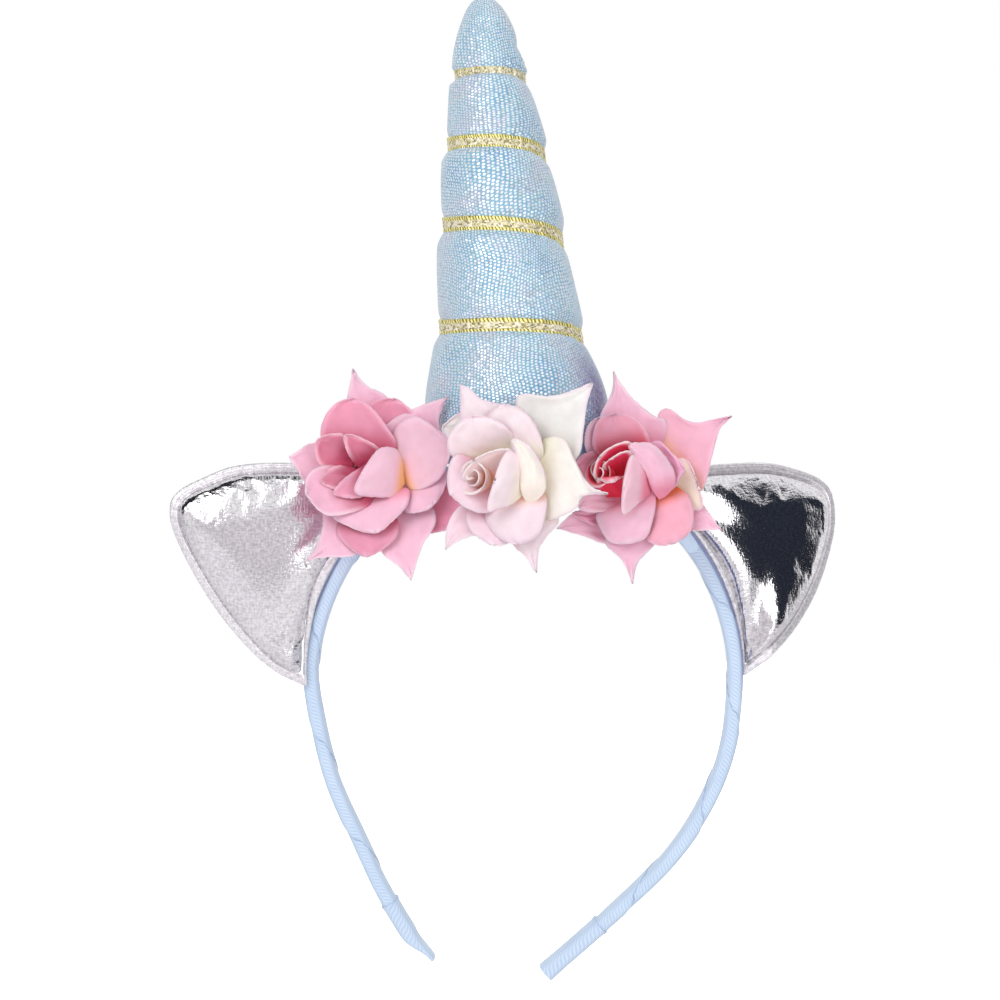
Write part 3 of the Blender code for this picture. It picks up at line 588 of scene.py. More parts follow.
def petal_cloth_finish(name):
    """Petal cloth: thin polyester satin, dyed from the foot to the tip and pressed to shape. It is matt, and
    lets some light through."""
    material, tree, shader = new_finish(
        name,
        {"Roughness": 0.72, "Sheen Weight": 0.20, "Sheen Roughness": 0.5, "Specular IOR Level": 0.25,
         "Subsurface Weight": 0.25, "Subsurface Radius": (1.0, 0.45, 0.45), "Subsurface Scale": 1.5 * MM},
    )
    # The attribute holds the dye, with painted shade at the feet of cupped petals and a painted highlight on
    # the rims.
    dye_and_painted_light = node(tree, "ShaderNodeAttribute", attribute_name="dye_and_painted_light")
    place = node(tree, "ShaderNodeTexCoord")
    # Dye takes unevenly over 4 mm. The threads, 0.2 mm, are too fine to show, so a 0.7 mm grain stands for
    # them.
    uneven = node(
        tree, "ShaderNodeTexNoise", {"Scale": 260.0, "Detail": 3.0}, {"Vector": place.outputs["Object"]}
    )
    faded = node(
        tree, "ShaderNodeMapRange", {"From Min": 0.3, "From Max": 0.7, "To Min": 0.88, "To Max": 0.97},
        {"Value": uneven.outputs["Fac"]},
    )
    shade = node(
        tree, "ShaderNodeVectorMath", links={0: dye_and_painted_light.outputs["Color"], "Scale": faded.outputs["Result"]},
        operation="SCALE",
    )
    threads = node(
        tree, "ShaderNodeTexNoise", {"Scale": 1400.0, "Detail": 2.0}, {"Vector": place.outputs["Object"]}
    )
    bump = node(
        tree, "ShaderNodeBump", {"Strength": 0.12, "Distance": 0.2 * MM}, {"Height": threads.outputs["Fac"]}
    )
    tree.links.new(shader.inputs["Base Color"], shade.outputs["Vector"])
    tree.links.new(shader.inputs["Normal"], bump.outputs["Normal"])
    return material


# Forms


class Hoop:
    """The band's middle line from tip (-1) over the crown (0) to tip (1), seen from the front."""

    def __init__(self, sizes):
        self.sizes = sizes
        half_width = sizes.inner_half_width + sizes.thickness / 2
        rise = sizes.inner_rise + sizes.thickness / 2
        tilt = math.radians(sizes.tilt_deg)
        turn = np.array([[math.cos(tilt), math.sin(tilt)], [-math.sin(tilt), math.cos(tilt)]])
        shares, places = [], []
        for side, column in ((-1, "left"), (1, "right")):
            arch = np.linspace(0, math.pi / 2, 7)
            points = [np.array([half_width * math.sin(a), rise * math.cos(a)]) for a in arch]
            points += [
                np.array([half_width * row[column], -sizes.leg_drop * row["drop"]]) for row in LEG_SHAPE
            ]
            path = spline(points, 40)
            walked = np.concatenate([[0.0], np.cumsum(np.linalg.norm(np.diff(path, axis=0), axis=1))])
            path = path * [side, 1] @ turn.T + [0.0, -sizes.inner_rise]
            self.length = walked[-1]
            order = slice(None, 0, -1) if side < 0 else slice(None)
            shares.append(side * walked[order] / walked[-1])
            places.append(path[order])
        self.shares = np.concatenate(shares)
        self.places = np.concatenate(places)

    def line(self, share):
        """Places of the middle line at shares of the hoop."""
        x = np.interp(share, self.shares, self.places[:, 0])
        z = np.interp(share, self.shares, self.places[:, 1])
        return np.stack([x, np.zeros_like(x), z], axis=-1)

    def at(self, share):
        """(places, directions outwards) at shares of the hoop."""
        share = np.asarray(share, float)
        step = 0.006
        along = unit(self.line(np.minimum(share + step, 1)) - self.line(np.maximum(share - step, -1)))
        out = np.stack([-along[..., 2], np.zeros_like(share), along[..., 0]], axis=-1)
        return self.line(share), out

    def narrowing(self, share):
        """0 on the upper half of each side, and from there up to 1 at the tip."""
        return np.maximum(0.0, 2 * np.abs(share) - 1)

    def thickness(self, share):
        sizes = self.sizes
        return sizes.thickness + (sizes.tip_thickness - sizes.thickness) * self.narrowing(share)

    def width(self, share):
        return self.sizes.width + (self.sizes.tip_width - self.sizes.width) * self.narrowing(share)

    def skin(self, share, turn, swell=0.0, squeeze=1.0):
        """Points on the band's rounded skin: turn goes round it once from the outside by way of the back."""
        place, out = self.at(share)
        angle = 2 * math.pi * turn
        power = 2 / SECTION_POWER
        a = np.sign(np.cos(angle)) * np.abs(np.cos(angle)) ** power
        b = np.sign(np.sin(angle)) * np.abs(np.sin(angle)) ** power
        thick = (self.thickness(share) * squeeze / 2 + swell) * a
        wide = (self.width(share) / 2 + swell) * b
        return place + out * thick[..., None] + np.stack([0 * wide, wide, 0 * wide], axis=-1)


class Horn:
    """The horn's spine, its skin and the path of the ribbon that pinches it."""

    def __init__(self, sizes, band):
        self.sizes = sizes
        self.base_z = band.thickness + GAP - sizes.seat_depth
        self.turn_of = table_curve(WINDING, "down", "turn")
        self.pinch = table_curve(PINCH, "down", "radius")
        self.downs = np.linspace(0, 1, 4001)
        self.turns = self.turn_at(self.downs)

    def spine(self, down):
        """Places of the horn's middle line, which leans back more towards its tip."""
        sizes = self.sizes
        up = 1 - down
        back = sizes.lean_back * (0.72 * up + 0.28 * up * up)
        height = math.sqrt(sizes.length**2 - sizes.lean_back**2 - sizes.lean_left**2) * up
        return np.stack([sizes.base_x - sizes.lean_left * up, back, self.base_z + height], axis=-1)

    def turn_at(self, down):
        """How many turns the ribbon has made from the back at a share of the way down."""
        first, last = WINDING[0]["down"], WINDING[-1]["down"]
        inside = np.clip(down, first, last)
        return self.turn_of(inside) + (down - inside) / END_PITCH

    def ribbon_down(self, turn):
        """How far down the ribbon is after its turns."""
        return np.interp(turn, self.turns, self.downs)

    def radius(self, down, around):
        """The skin's radius: swollen between windings, gathered into small pleats beside the ribbon."""
        sizes = self.sizes
        tip = PINCH[0]["down"]
        radius = self.pinch(np.maximum(down, tip)) * sizes.base_radius
        dome = np.sqrt(np.maximum(0.0, 1 - (1 - np.minimum(down / tip, 1.0)) ** 2))
        radius = radius * dome
        phase = self.turn_at(down) - around
        pitch = 0.01 / (self.turn_at(down + 0.005) - self.turn_at(down - 0.005))
        nearest = np.abs(phase - np.round(phase)) * pitch * sizes.length
        swell = sizes.bulge * np.abs(np.sin(math.pi * phase)) ** 0.8
        groove = sizes.groove * np.exp(-((nearest / (0.80 * sizes.ribbon_width)) ** 2))
        beside = np.exp(-((np.maximum(nearest - sizes.ribbon_width / 2, 0) / (4 * MM)) ** 2))
        angle = 2 * math.pi * around
        # 23 and 37 pleats round the horn, unevenly mixed.
        pleats = np.sin(23 * angle + 3 * np.sin(2 * angle) + 5 * down) + 0.6 * np.sin(37 * angle - 9 * down)
        body = np.minimum(1.0, (down / tip) ** 2)
        return radius + (swell - groove + sizes.pleat * pleats * beside) * body

    def point_at(self, down, around, radius):
        """Points a radius off the spine, around being turns from the back."""
        axis = unit(self.spine(down - 0.01) - self.spine(down + 0.01))
        right = unit(np.array([1.0, 0, 0]) - axis * axis[..., :1])
        back = np.cross(axis, right)
        angle = (2 * math.pi * around)[..., None]
        radial = back * np.cos(angle) - right * np.sin(angle)
        return self.spine(down) + radial * radius[..., None]


class Ear:
    """One ear's outline, the plane of its rim and the way it faces."""

    def __init__(self, sizes, hoop, row):
        self.sizes = sizes
        self.hoop = hoop
        self.row = row
        self.side = row["side"]
        self.turn = math.radians(row["turn_deg"])
        self.half = sizes.base / 2
        self.low, self.middle, self.high = (self.on_band(u) for u in (-1, 0, 1))
        self.along = unit(self.high - self.low)
        flat_out = np.array([self.along[2], 0, -self.along[0]]) * self.side
        self.out = flat_out * math.cos(self.turn) + np.array([0, math.sin(self.turn), 0])
        self.face = flat_out * math.sin(self.turn) - np.array([0, math.cos(self.turn), 0])
        self.edge = self.outline(sizes.edge_steps)
        self.centre = self.edge.mean(axis=0)

    def on_band(self, along, lap=0.0):
        """A place of the ear's base on the band's skin. An ear that doesn't lap rests against it."""
        share = self.side * (self.row["seat"] - along * self.half / self.hoop.length)
        place, out = self.hoop.at(share)
        clearance = GAP if self.row["laps"] else 0.1 * GAP
        return place + out * (self.hoop.thickness(share) / 2 + clearance - lap)

    def lap(self, along):
        """How far the ear's base laps over the band, most at its lower end."""
        share = (along + 1) / 2 / LAP_SHARE
        return self.sizes.lap * max(0.0, 1 - share * share) if self.row["laps"] else 0.0

    def depth(self, points):
        """How far back the rim's middle plane is at points of the outline."""
        behind = self.row["behind"] * self.hoop.sizes.width
        if not self.row["laps"]:
            return np.full(len(points), behind)
        lapped = -(self.hoop.sizes.width + self.sizes.rim_thickness) / 2 - GAP
        share = (points - self.low) @ self.along / np.linalg.norm(self.high - self.low)
        return lapped + (behind - lapped) * smooth_step(LAP_SHARE, LAP_EASED, share)

    def outline(self, steps):
        """The outline's points with equal steps: along the band, then out round the tip and back."""
        base = [self.on_band(u, self.lap(u)) for u in np.linspace(1, -1, 11)]
        free = [
            self.middle + self.out * (spot["out"] * self.sizes.reach)
            + self.along * (spot["along"] * self.half)
            for spot in self.row["edge"]
        ]
        loop = np.concatenate([spline(base, 6), spline([base[-1], *free, base[0]], 8)[1:]])
        walked = np.concatenate([[0.0], np.cumsum(np.linalg.norm(np.diff(loop, axis=0), axis=1))])
        targets = walked[-1] * np.arange(steps) / steps
        edge = np.stack([np.interp(targets, walked, loop[:, i]) for i in range(3)], axis=-1)
        for _ in range(6):
            edge = 0.5 * edge + 0.25 * (np.roll(edge, 1, axis=0) + np.roll(edge, -1, axis=0))
        return edge

    def point(self, around, inset, lift):
        """Points of the ear: where round the edge, how far in from it, how far off the rim's plane."""
        steps = len(self.edge)
        place = (around % 1.0) * steps
        i = np.floor(place).astype(int) % steps
        t = (place - np.floor(place))[:, None]
        edge = self.edge[i] * (1 - t) + self.edge[(i + 1) % steps] * t
        spoke = np.linalg.norm(edge - self.centre, axis=1)
        inner = edge + (self.centre - edge) * (inset / spoke)[:, None]
        inner[:, 1] += self.depth(inner)
        return inner + self.face * lift[:, None]


class Rose:
    """One rose's frame: its middle, and the way it faces, which turns from the outer layer to the bud."""

    def __init__(self, row, sizes, hoop, horn):
        self.row = row
        perch, out = hoop.at(row["perch"])
        ahead = np.array([0, -row["ahead"] * horn.sizes.base_radius, 0])
        self.middle = perch + out * (row["outside"] * sizes.radius) + ahead

    def directions(self, layer):
        """(right, up, forward) of a layer from 0, the outer one, to 3, the bud."""
        share = layer / 3
        back, front = self.row["faces"]
        up = math.radians(back["up_deg"] + (front["up_deg"] - back["up_deg"]) * share)
        left = math.radians(back["left_deg"] + (front["left_deg"] - back["left_deg"]) * share)
        level = math.cos(up)
        forward = np.array([-math.sin(left) * level, -math.cos(left) * level, math.sin(up)])
        right = unit(np.cross(np.array([0, 0, 1.0]), forward))
        return right, np.cross(forward, right), forward

    def points(self, drawn):
        """World points of (right, up, forward) ones, forward being how far off the rose's tilted back."""
        lift = math.radians(SEEN_FROM_DEG)
        right, up = np.array([1.0, 0, 0]), np.array([0, math.sin(lift), math.cos(lift)])
        ahead = np.array([0, -math.cos(lift), math.sin(lift)])
        faces = self.directions(0)[2]
        x, y, forward = drawn.T
        depth = (forward - x * (faces @ right) - y * (faces @ up)) / (faces @ ahead)
        return self.middle + MM * (np.outer(x, right) + np.outer(y, up) + np.outer(depth, ahead))


# The petals of each rose, from its back to its front: its layer, whether its tip is pointed, how far its
# middle bulges forward and its rim rolls back, its tones of dye and painted light, and its two edges and its
# tip. Points are millimetres to the right, up and forward of the rose's middle, as seen from the front.
LEFT_PETALS = (
    {"layer": 0, "pointed": True, "belly": 0.6, "roll": 0.5, "tones": "rose",
     "left": ((-3.9, 4.1, 1), (-8.8, 13.9, 4), (-7.8, 22.2, 6)),
     "right": ((-1.2, 4.1, 1), (5.0, 14.3, 4), (4.1, 22.5, 6), (-1.9, 26.0, 6.5)),
     "tip": (-6.1, 30.9, 5)},
    {"layer": 0, "pointed": True, "belly": 0.8, "roll": 0.5, "tones": "rose",
     "left": ((0.6, 3.2, 2), (3.2, 13.8, 7), (11.6, 19.2, 9.5)),
     "right": ((4.1, 3.2, 2), (18.2, 10.3, 8), (19.3, 16.6, 10.5)),
     "tip": (21.8, 22.6, 12)},
    {"layer": 0, "pointed": True, "belly": -0.6, "roll": 0.5, "tones": "rose",
     "left": ((-5.2, 2.8, 1), (-12.3, 8.5, 4), (-18.5, 9.2, 5)),
     "right": ((-5.2, -0.3, 1), (-12.3, -4.3, 4), (-19.3, -2.6, 5.5), (-21.8, 1.2, 6)),
     "tip": (-24.2, 5.1, 6)},
    {"layer": 0, "pointed": True, "belly": 0.8, "roll": 0.6, "tones": "rose",
     "left": ((-4.8, -1.2, 1), (-13.6, -8.8, 4), (-14.4, -14.9, 6), (-15.8, -20.2, 7)),
     "right": ((-1.2, -3.0, 1), (0.6, -16.3, 4.5), (-4.8, -23.0, 6.5), (-13.2, -23.7, 7)),
     "tip": (-18.8, -24.6, 7)},
    {"layer": 0, "pointed": True, "belly": -1.4, "roll": 0.8, "tones": "rose",
     "left": ((-2.1, -3.0, 1), (-1.2, -14.5, 4), (3.0, -22.7, 6.5), (7.2, -26.0, 7)),
     "right": ((3.2, -1.2, 1), (14.7, -6.5, 4), (18.3, -13.1, 7), (14.3, -20.7, 7.5)),
     "tip": (11.2, -30.4, 6.5)},
    {"layer": 0, "pointed": True, "belly": -1, "roll": 0.5, "tones": "deep",
     "left": ((2.3, -2.1, 0.5), (8.5, -12.8, 3), (15.6, -16.7, 4.5)),
     "right": ((4.1, 0.6, 0.5), (16.5, -0.3, 3), (24.0, -4.8, 4.5), (25.8, -10.5, 5)),
     "tip": (20.9, -16.1, 5)},
    {"layer": 1, "pointed": False, "belly": -1.2, "roll": 0.8, "tones": "deep",
     "left": ((0.6, 4.1, 2), (-0.3, 13.8, 7), (-1.2, 20.4, 9)),
     "right": ((5.0, 4.1, 2), (8.1, 12.5, 7), (12.2, 17.1, 9.5)),
     "tip": (6.3, 21.9, 10)},
    {"layer": 1, "pointed": False, "belly": -2, "roll": 1, "tones": "cup",
     "left": ((-5.7, 2.3, 3), (-13.6, 6.7, 8), (-15.1, 13.3, 11), (-12.0, 19.5, 13)),
     "right": ((2.3, 2.3, 3), (6.7, 8.1, 9), (4.1, 13.8, 12), (-0.3, 19.5, 13.5)),
     "tip": (-6.0, 21.9, 13.5)},
    {"layer": 1, "pointed": False, "belly": 1.2, "roll": 0.8, "tones": "rose",
     "left": ((6.8, -4.8, 3), (8.3, -9.2, 6), (11.2, -11.1, 8)),
     "right": ((11.2, -1.2, 3), (19.6, 2.8, 7), (21.4, -1.7, 9)),
     "tip": (17.1, -8.9, 9.5)},
    {"layer": 1, "pointed": False, "belly": -1.2, "roll": 1.2, "tones": "fruit",
     "left": ((7.6, 4.5, 4), (5.5, 11.2, 8), (8.0, 15.2, 11), (13.7, 16.6, 13)),
     "right": ((9.0, -2.1, 4), (11.2, -4.4, 7), (16.0, -3.5, 10), (20.6, 0.6, 13)),
     "tip": (21.9, 9.3, 14)},
    {"layer": 1, "pointed": False, "belly": 1.4, "roll": 1, "tones": "deep",
     "left": ((-4.8, -11.0, 3), (-9.8, -13.6, 6), (-9.4, -18.2, 8)),
     "right": ((4.1, -11.0, 3), (7.3, -13.4, 6), (6.3, -18.4, 8.5)),
     "tip": (-1.4, -23.4, 9)},
    {"layer": 1, "pointed": False, "belly": 1.8, "roll": 1, "tones": "rose",
     "left": ((-4.8, -7.9, 6), (-10.9, -10.5, 9), (-9.6, -13.5, 10.5)),
     "right": ((6.7, -4.3, 6), (10.5, -4.4, 8), (9.1, -9.8, 10.5)),
     "tip": (1.0, -16.4, 12)},
    {"layer": 1, "pointed": False, "belly": -1.8, "roll": 1.2, "tones": "bowl",
     "left": ((-5.6, 1.4, 5), (-13.1, 2.8, 9), (-18.4, 0.3, 12)),
     "right": ((4.1, -6.1, 7), (-0.3, -8.7, 11), (-6.5, -11.1, 13.5), (-13.5, -11.4, 14.5)),
     "tip": (-18.9, -5.6, 14.5)},
    {"layer": 2, "pointed": False, "belly": -1.5, "roll": 0.6, "tones": "pocket",
     "left": ((-5.6, 2.3, 5), (-13.1, 1.8, 8), (-16.2, 4.7, 10)),
     "right": ((-5.2, 5.9, 5), (-7.2, 8.5, 9), (-8.9, 12.0, 12)),
     "tip": (-15.7, 10.2, 12.5)},
    {"layer": 2, "pointed": False, "belly": -1, "roll": 0.5, "tones": "pocket",
     "left": ((-3.9, 1.4, 6), (-6.5, 5.0, 10), (-8.0, 8.5, 12.5)),
     "right": ((1.9, 3.2, 6), (2.3, 6.7, 10), (-1.2, 9.8, 12.5)),
     "tip": (-7.4, 11.5, 13.5)},
    {"layer": 2, "pointed": False, "belly": -0.8, "roll": 0.5, "tones": "pocket",
     "left": ((-3.9, 1.4, 5), (-9.6, 2.8, 8), (-13.8, 0.8, 10)),
     "right": ((-3.0, -1.2, 5), (-6.5, -4.3, 9), (-10.9, -4.3, 11)),
     "tip": (-14.9, -2.1, 12)},
    {"layer": 2, "pointed": False, "belly": 0.6, "roll": 0.6, "tones": "cup",
     "left": ((-0.8, 4.1, 6), (-4.7, 1.4, 10), (-9.6, -2.6, 12)),
     "right": ((2.3, -2.1, 6), (-1.2, -5.6, 9), (-4.7, -6.7, 12)),
     "tip": (-10.9, -5.6, 13)},
    {"layer": 2, "pointed": False, "belly": 2.6, "roll": 0.5, "tones": "fruit",
     "left": ((8.7, 2.3, 6), (7.2, 6.7, 11), (4.5, 7.9, 14), (1.4, 6.7, 16)),
     "right": ((9.0, -2.5, 6), (6.3, -6.0, 9), (1.0, -6.2, 13), (-4.7, -5.1, 16)),
     "tip": (-3.0, -0.1, 17)},
)
MIDDLE_PETALS = (
    {"layer": 0, "pointed": True, "belly": -0.8, "roll": 0.5, "tones": "grey",
     "left": ((-2.8, 1.9, 0.5), (-17.7, 8.0, 3), (-23.3, 13.3, 4.5)),
     "right": ((-1.1, 3.7, 0.5), (-12.4, 13.3, 3), (-17.9, 19.2, 5)),
     "tip": (-23.6, 15.5, 5)},
    {"layer": 0, "pointed": True, "belly": -0.9, "roll": 0.5, "tones": "grey",
     "left": ((0.7, 2.8, 1), (-1.1, 14.2, 3.5), (-3.0, 21.1, 5.5), (-1.5, 24.5, 6), (7.6, 23.9, 7)),
     "right": ((5.9, 1.0, 1), (14.7, 6.3, 4), (16.5, 14.6, 6), (17.2, 21.5, 7)),
     "tip": (18.9, 27.3, 7.5)},
    {"layer": 0, "pointed": True, "belly": 0.8, "roll": 0.5, "tones": "blush",
     "left": ((-3.7, 1.0, 1), (-15.1, 8.9, 4), (-18.5, 15.9, 6), (-18.6, 22.8, 6.5)),
     "right": ((1.6, 1.9, 1), (5.0, 8.0, 4), (3.3, 15.0, 6.5), (-1.5, 20.2, 7), (-12.0, 22.8, 6.5),
               (-15.9, 26.1, 6)),
     "tip": (-19.0, 27.7, 6)},
    {"layer": 0, "pointed": True, "belly": 1.2, "roll": 0.5, "tones": "blush",
     "left": ((-3.7, -6.0, 1), (-4.6, -13.8, 4), (-3.3, -18.8, 5.5), (0.7, -22.5, 6)),
     "right": ((4.2, -5.1, 1), (9.4, -11.2, 4), (6.1, -16.0, 5.5), (3.5, -20.3, 6)),
     "tip": (2.9, -26.3, 6)},
    {"layer": 0, "pointed": True, "belly": -0.8, "roll": 0.5, "tones": "pink",
     "left": ((-7.6, -2.9, 1), (-18.6, -7.3, 4), (-22.5, -13.8, 5)),
     "right": ((-5.5, -7.3, 1), (-8.9, -15.1, 4.5), (-15.5, -16.1, 5.5), (-19.8, -17.9, 6)),
     "tip": (-22.9, -20.2, 6)},
    {"layer": 0, "pointed": True, "belly": 1, "roll": 0.7, "tones": "cream",
     "left": ((3.3, 5.4, 3), (4.6, 11.3, 6), (10.5, 11.8, 8), (13.9, 5.8, 9), (18.1, -2.1, 10)),
     "right": ((2.4, -5.1, 3), (5.9, -11.4, 6), (12.2, -9.4, 8), (14.9, -7.2, 9.5), (15.9, -4.7, 10)),
     "tip": (23.1, -4.0, 11)},
    {"layer": 1, "pointed": False, "belly": 1, "roll": 0.7, "tones": "pink",
     "left": ((-12.0, -6.4, 3), (-16.6, -8.8, 6), (-15.7, -14.2, 8)),
     "right": ((-2.8, -7.3, 3), (-2.4, -13.8, 7), (-4.5, -17.7, 8.5)),
     "tip": (-8.9, -18.6, 9)},
    {"layer": 1, "pointed": False, "belly": 0.8, "roll": 0.9, "tones": "blush",
     "left": ((-5.4, 5.4, 4), (-8.9, 13.2, 8), (-11.4, 17.8, 9.5)),
     "right": ((4.2, 4.1, 4), (5.1, 8.0, 8), (3.5, 13.6, 10), (0.2, 19.1, 10.5)),
     "tip": (-5.8, 21.4, 10.5)},
    {"layer": 1, "pointed": False, "belly": -0.8, "roll": 1, "tones": "blush",
     "left": ((-12.9, 5.8, 5), (-21.1, 6.7, 8), (-22.3, 11.5, 10.5), (-19.5, 16.0, 12)),
     "right": ((-4.1, 7.6, 5), (-3.3, 11.5, 9), (-5.8, 15.4, 12), (-9.7, 17.4, 12.5)),
     "tip": (-14.9, 18.0, 12.5)},
    {"layer": 1, "pointed": False, "belly": 1.6, "roll": 1.2, "tones": "peach",
     "left": ((-6.3, -3.3, 5), (-11.2, -8.8, 8), (-10.2, -13.5, 10), (-6.9, -16.8, 11)),
     "right": ((1.5, -2.4, 5), (5.8, -4.6, 8), (5.5, -10.3, 10), (3.5, -15.7, 11)),
     "tip": (-1.9, -18.0, 11.5)},
    {"layer": 1, "pointed": False, "belly": 0.8, "roll": 1.2, "tones": "pink",
     "left": ((-13.3, 4.5, 6), (-18.9, 7.3, 9), (-21.7, 4.1, 11)),
     "right": ((-6.7, -5.1, 7), (-9.3, -8.7, 10), (-14.5, -8.9, 12)),
     "tip": (-21.4, -4.2, 12.5)},
    {"layer": 1, "pointed": False, "belly": 1.8, "roll": 0.6, "tones": "milk",
     "left": ((0.2, -6.8, 9), (-1.5, -2.9, 12), (-2.4, 4.1, 14)),
     "right": ((1.5, -7.2, 9), (5.4, -3.3, 12), (5.4, 1.9, 14), (2.8, 7.1, 15), (-0.2, 10.5, 15.5)),
     "tip": (-4.2, 11.4, 15.5)},
    {"layer": 2, "pointed": False, "belly": -1.4, "roll": 0.5, "tones": "bud",
     "left": ((-13.3, -3.3, 8), (-16.9, -1.1, 12), (-17.7, 1.3, 15)),
     "right": ((-5.4, 1.0, 8), (-2.8, 5.4, 12), (-4.5, 8.5, 15), (-9.3, 8.0, 16)),
     "tip": (-14.7, 5.4, 16)},
    {"layer": 2, "pointed": False, "belly": 2.4, "roll": 0.4, "tones": "blush",
     "left": ((-1.1, -0.7, 9), (-1.7, 4.5, 13), (-3.7, 8.0, 15.5), (-6.2, 6.9, 17)),
     "right": ((-0.9, -4.2, 9), (-4.1, -6.8, 12), (-8.0, -8.3, 15), (-10.9, -8.7, 16.5)),
     "tip": (-9.3, -2.0, 18)},
)
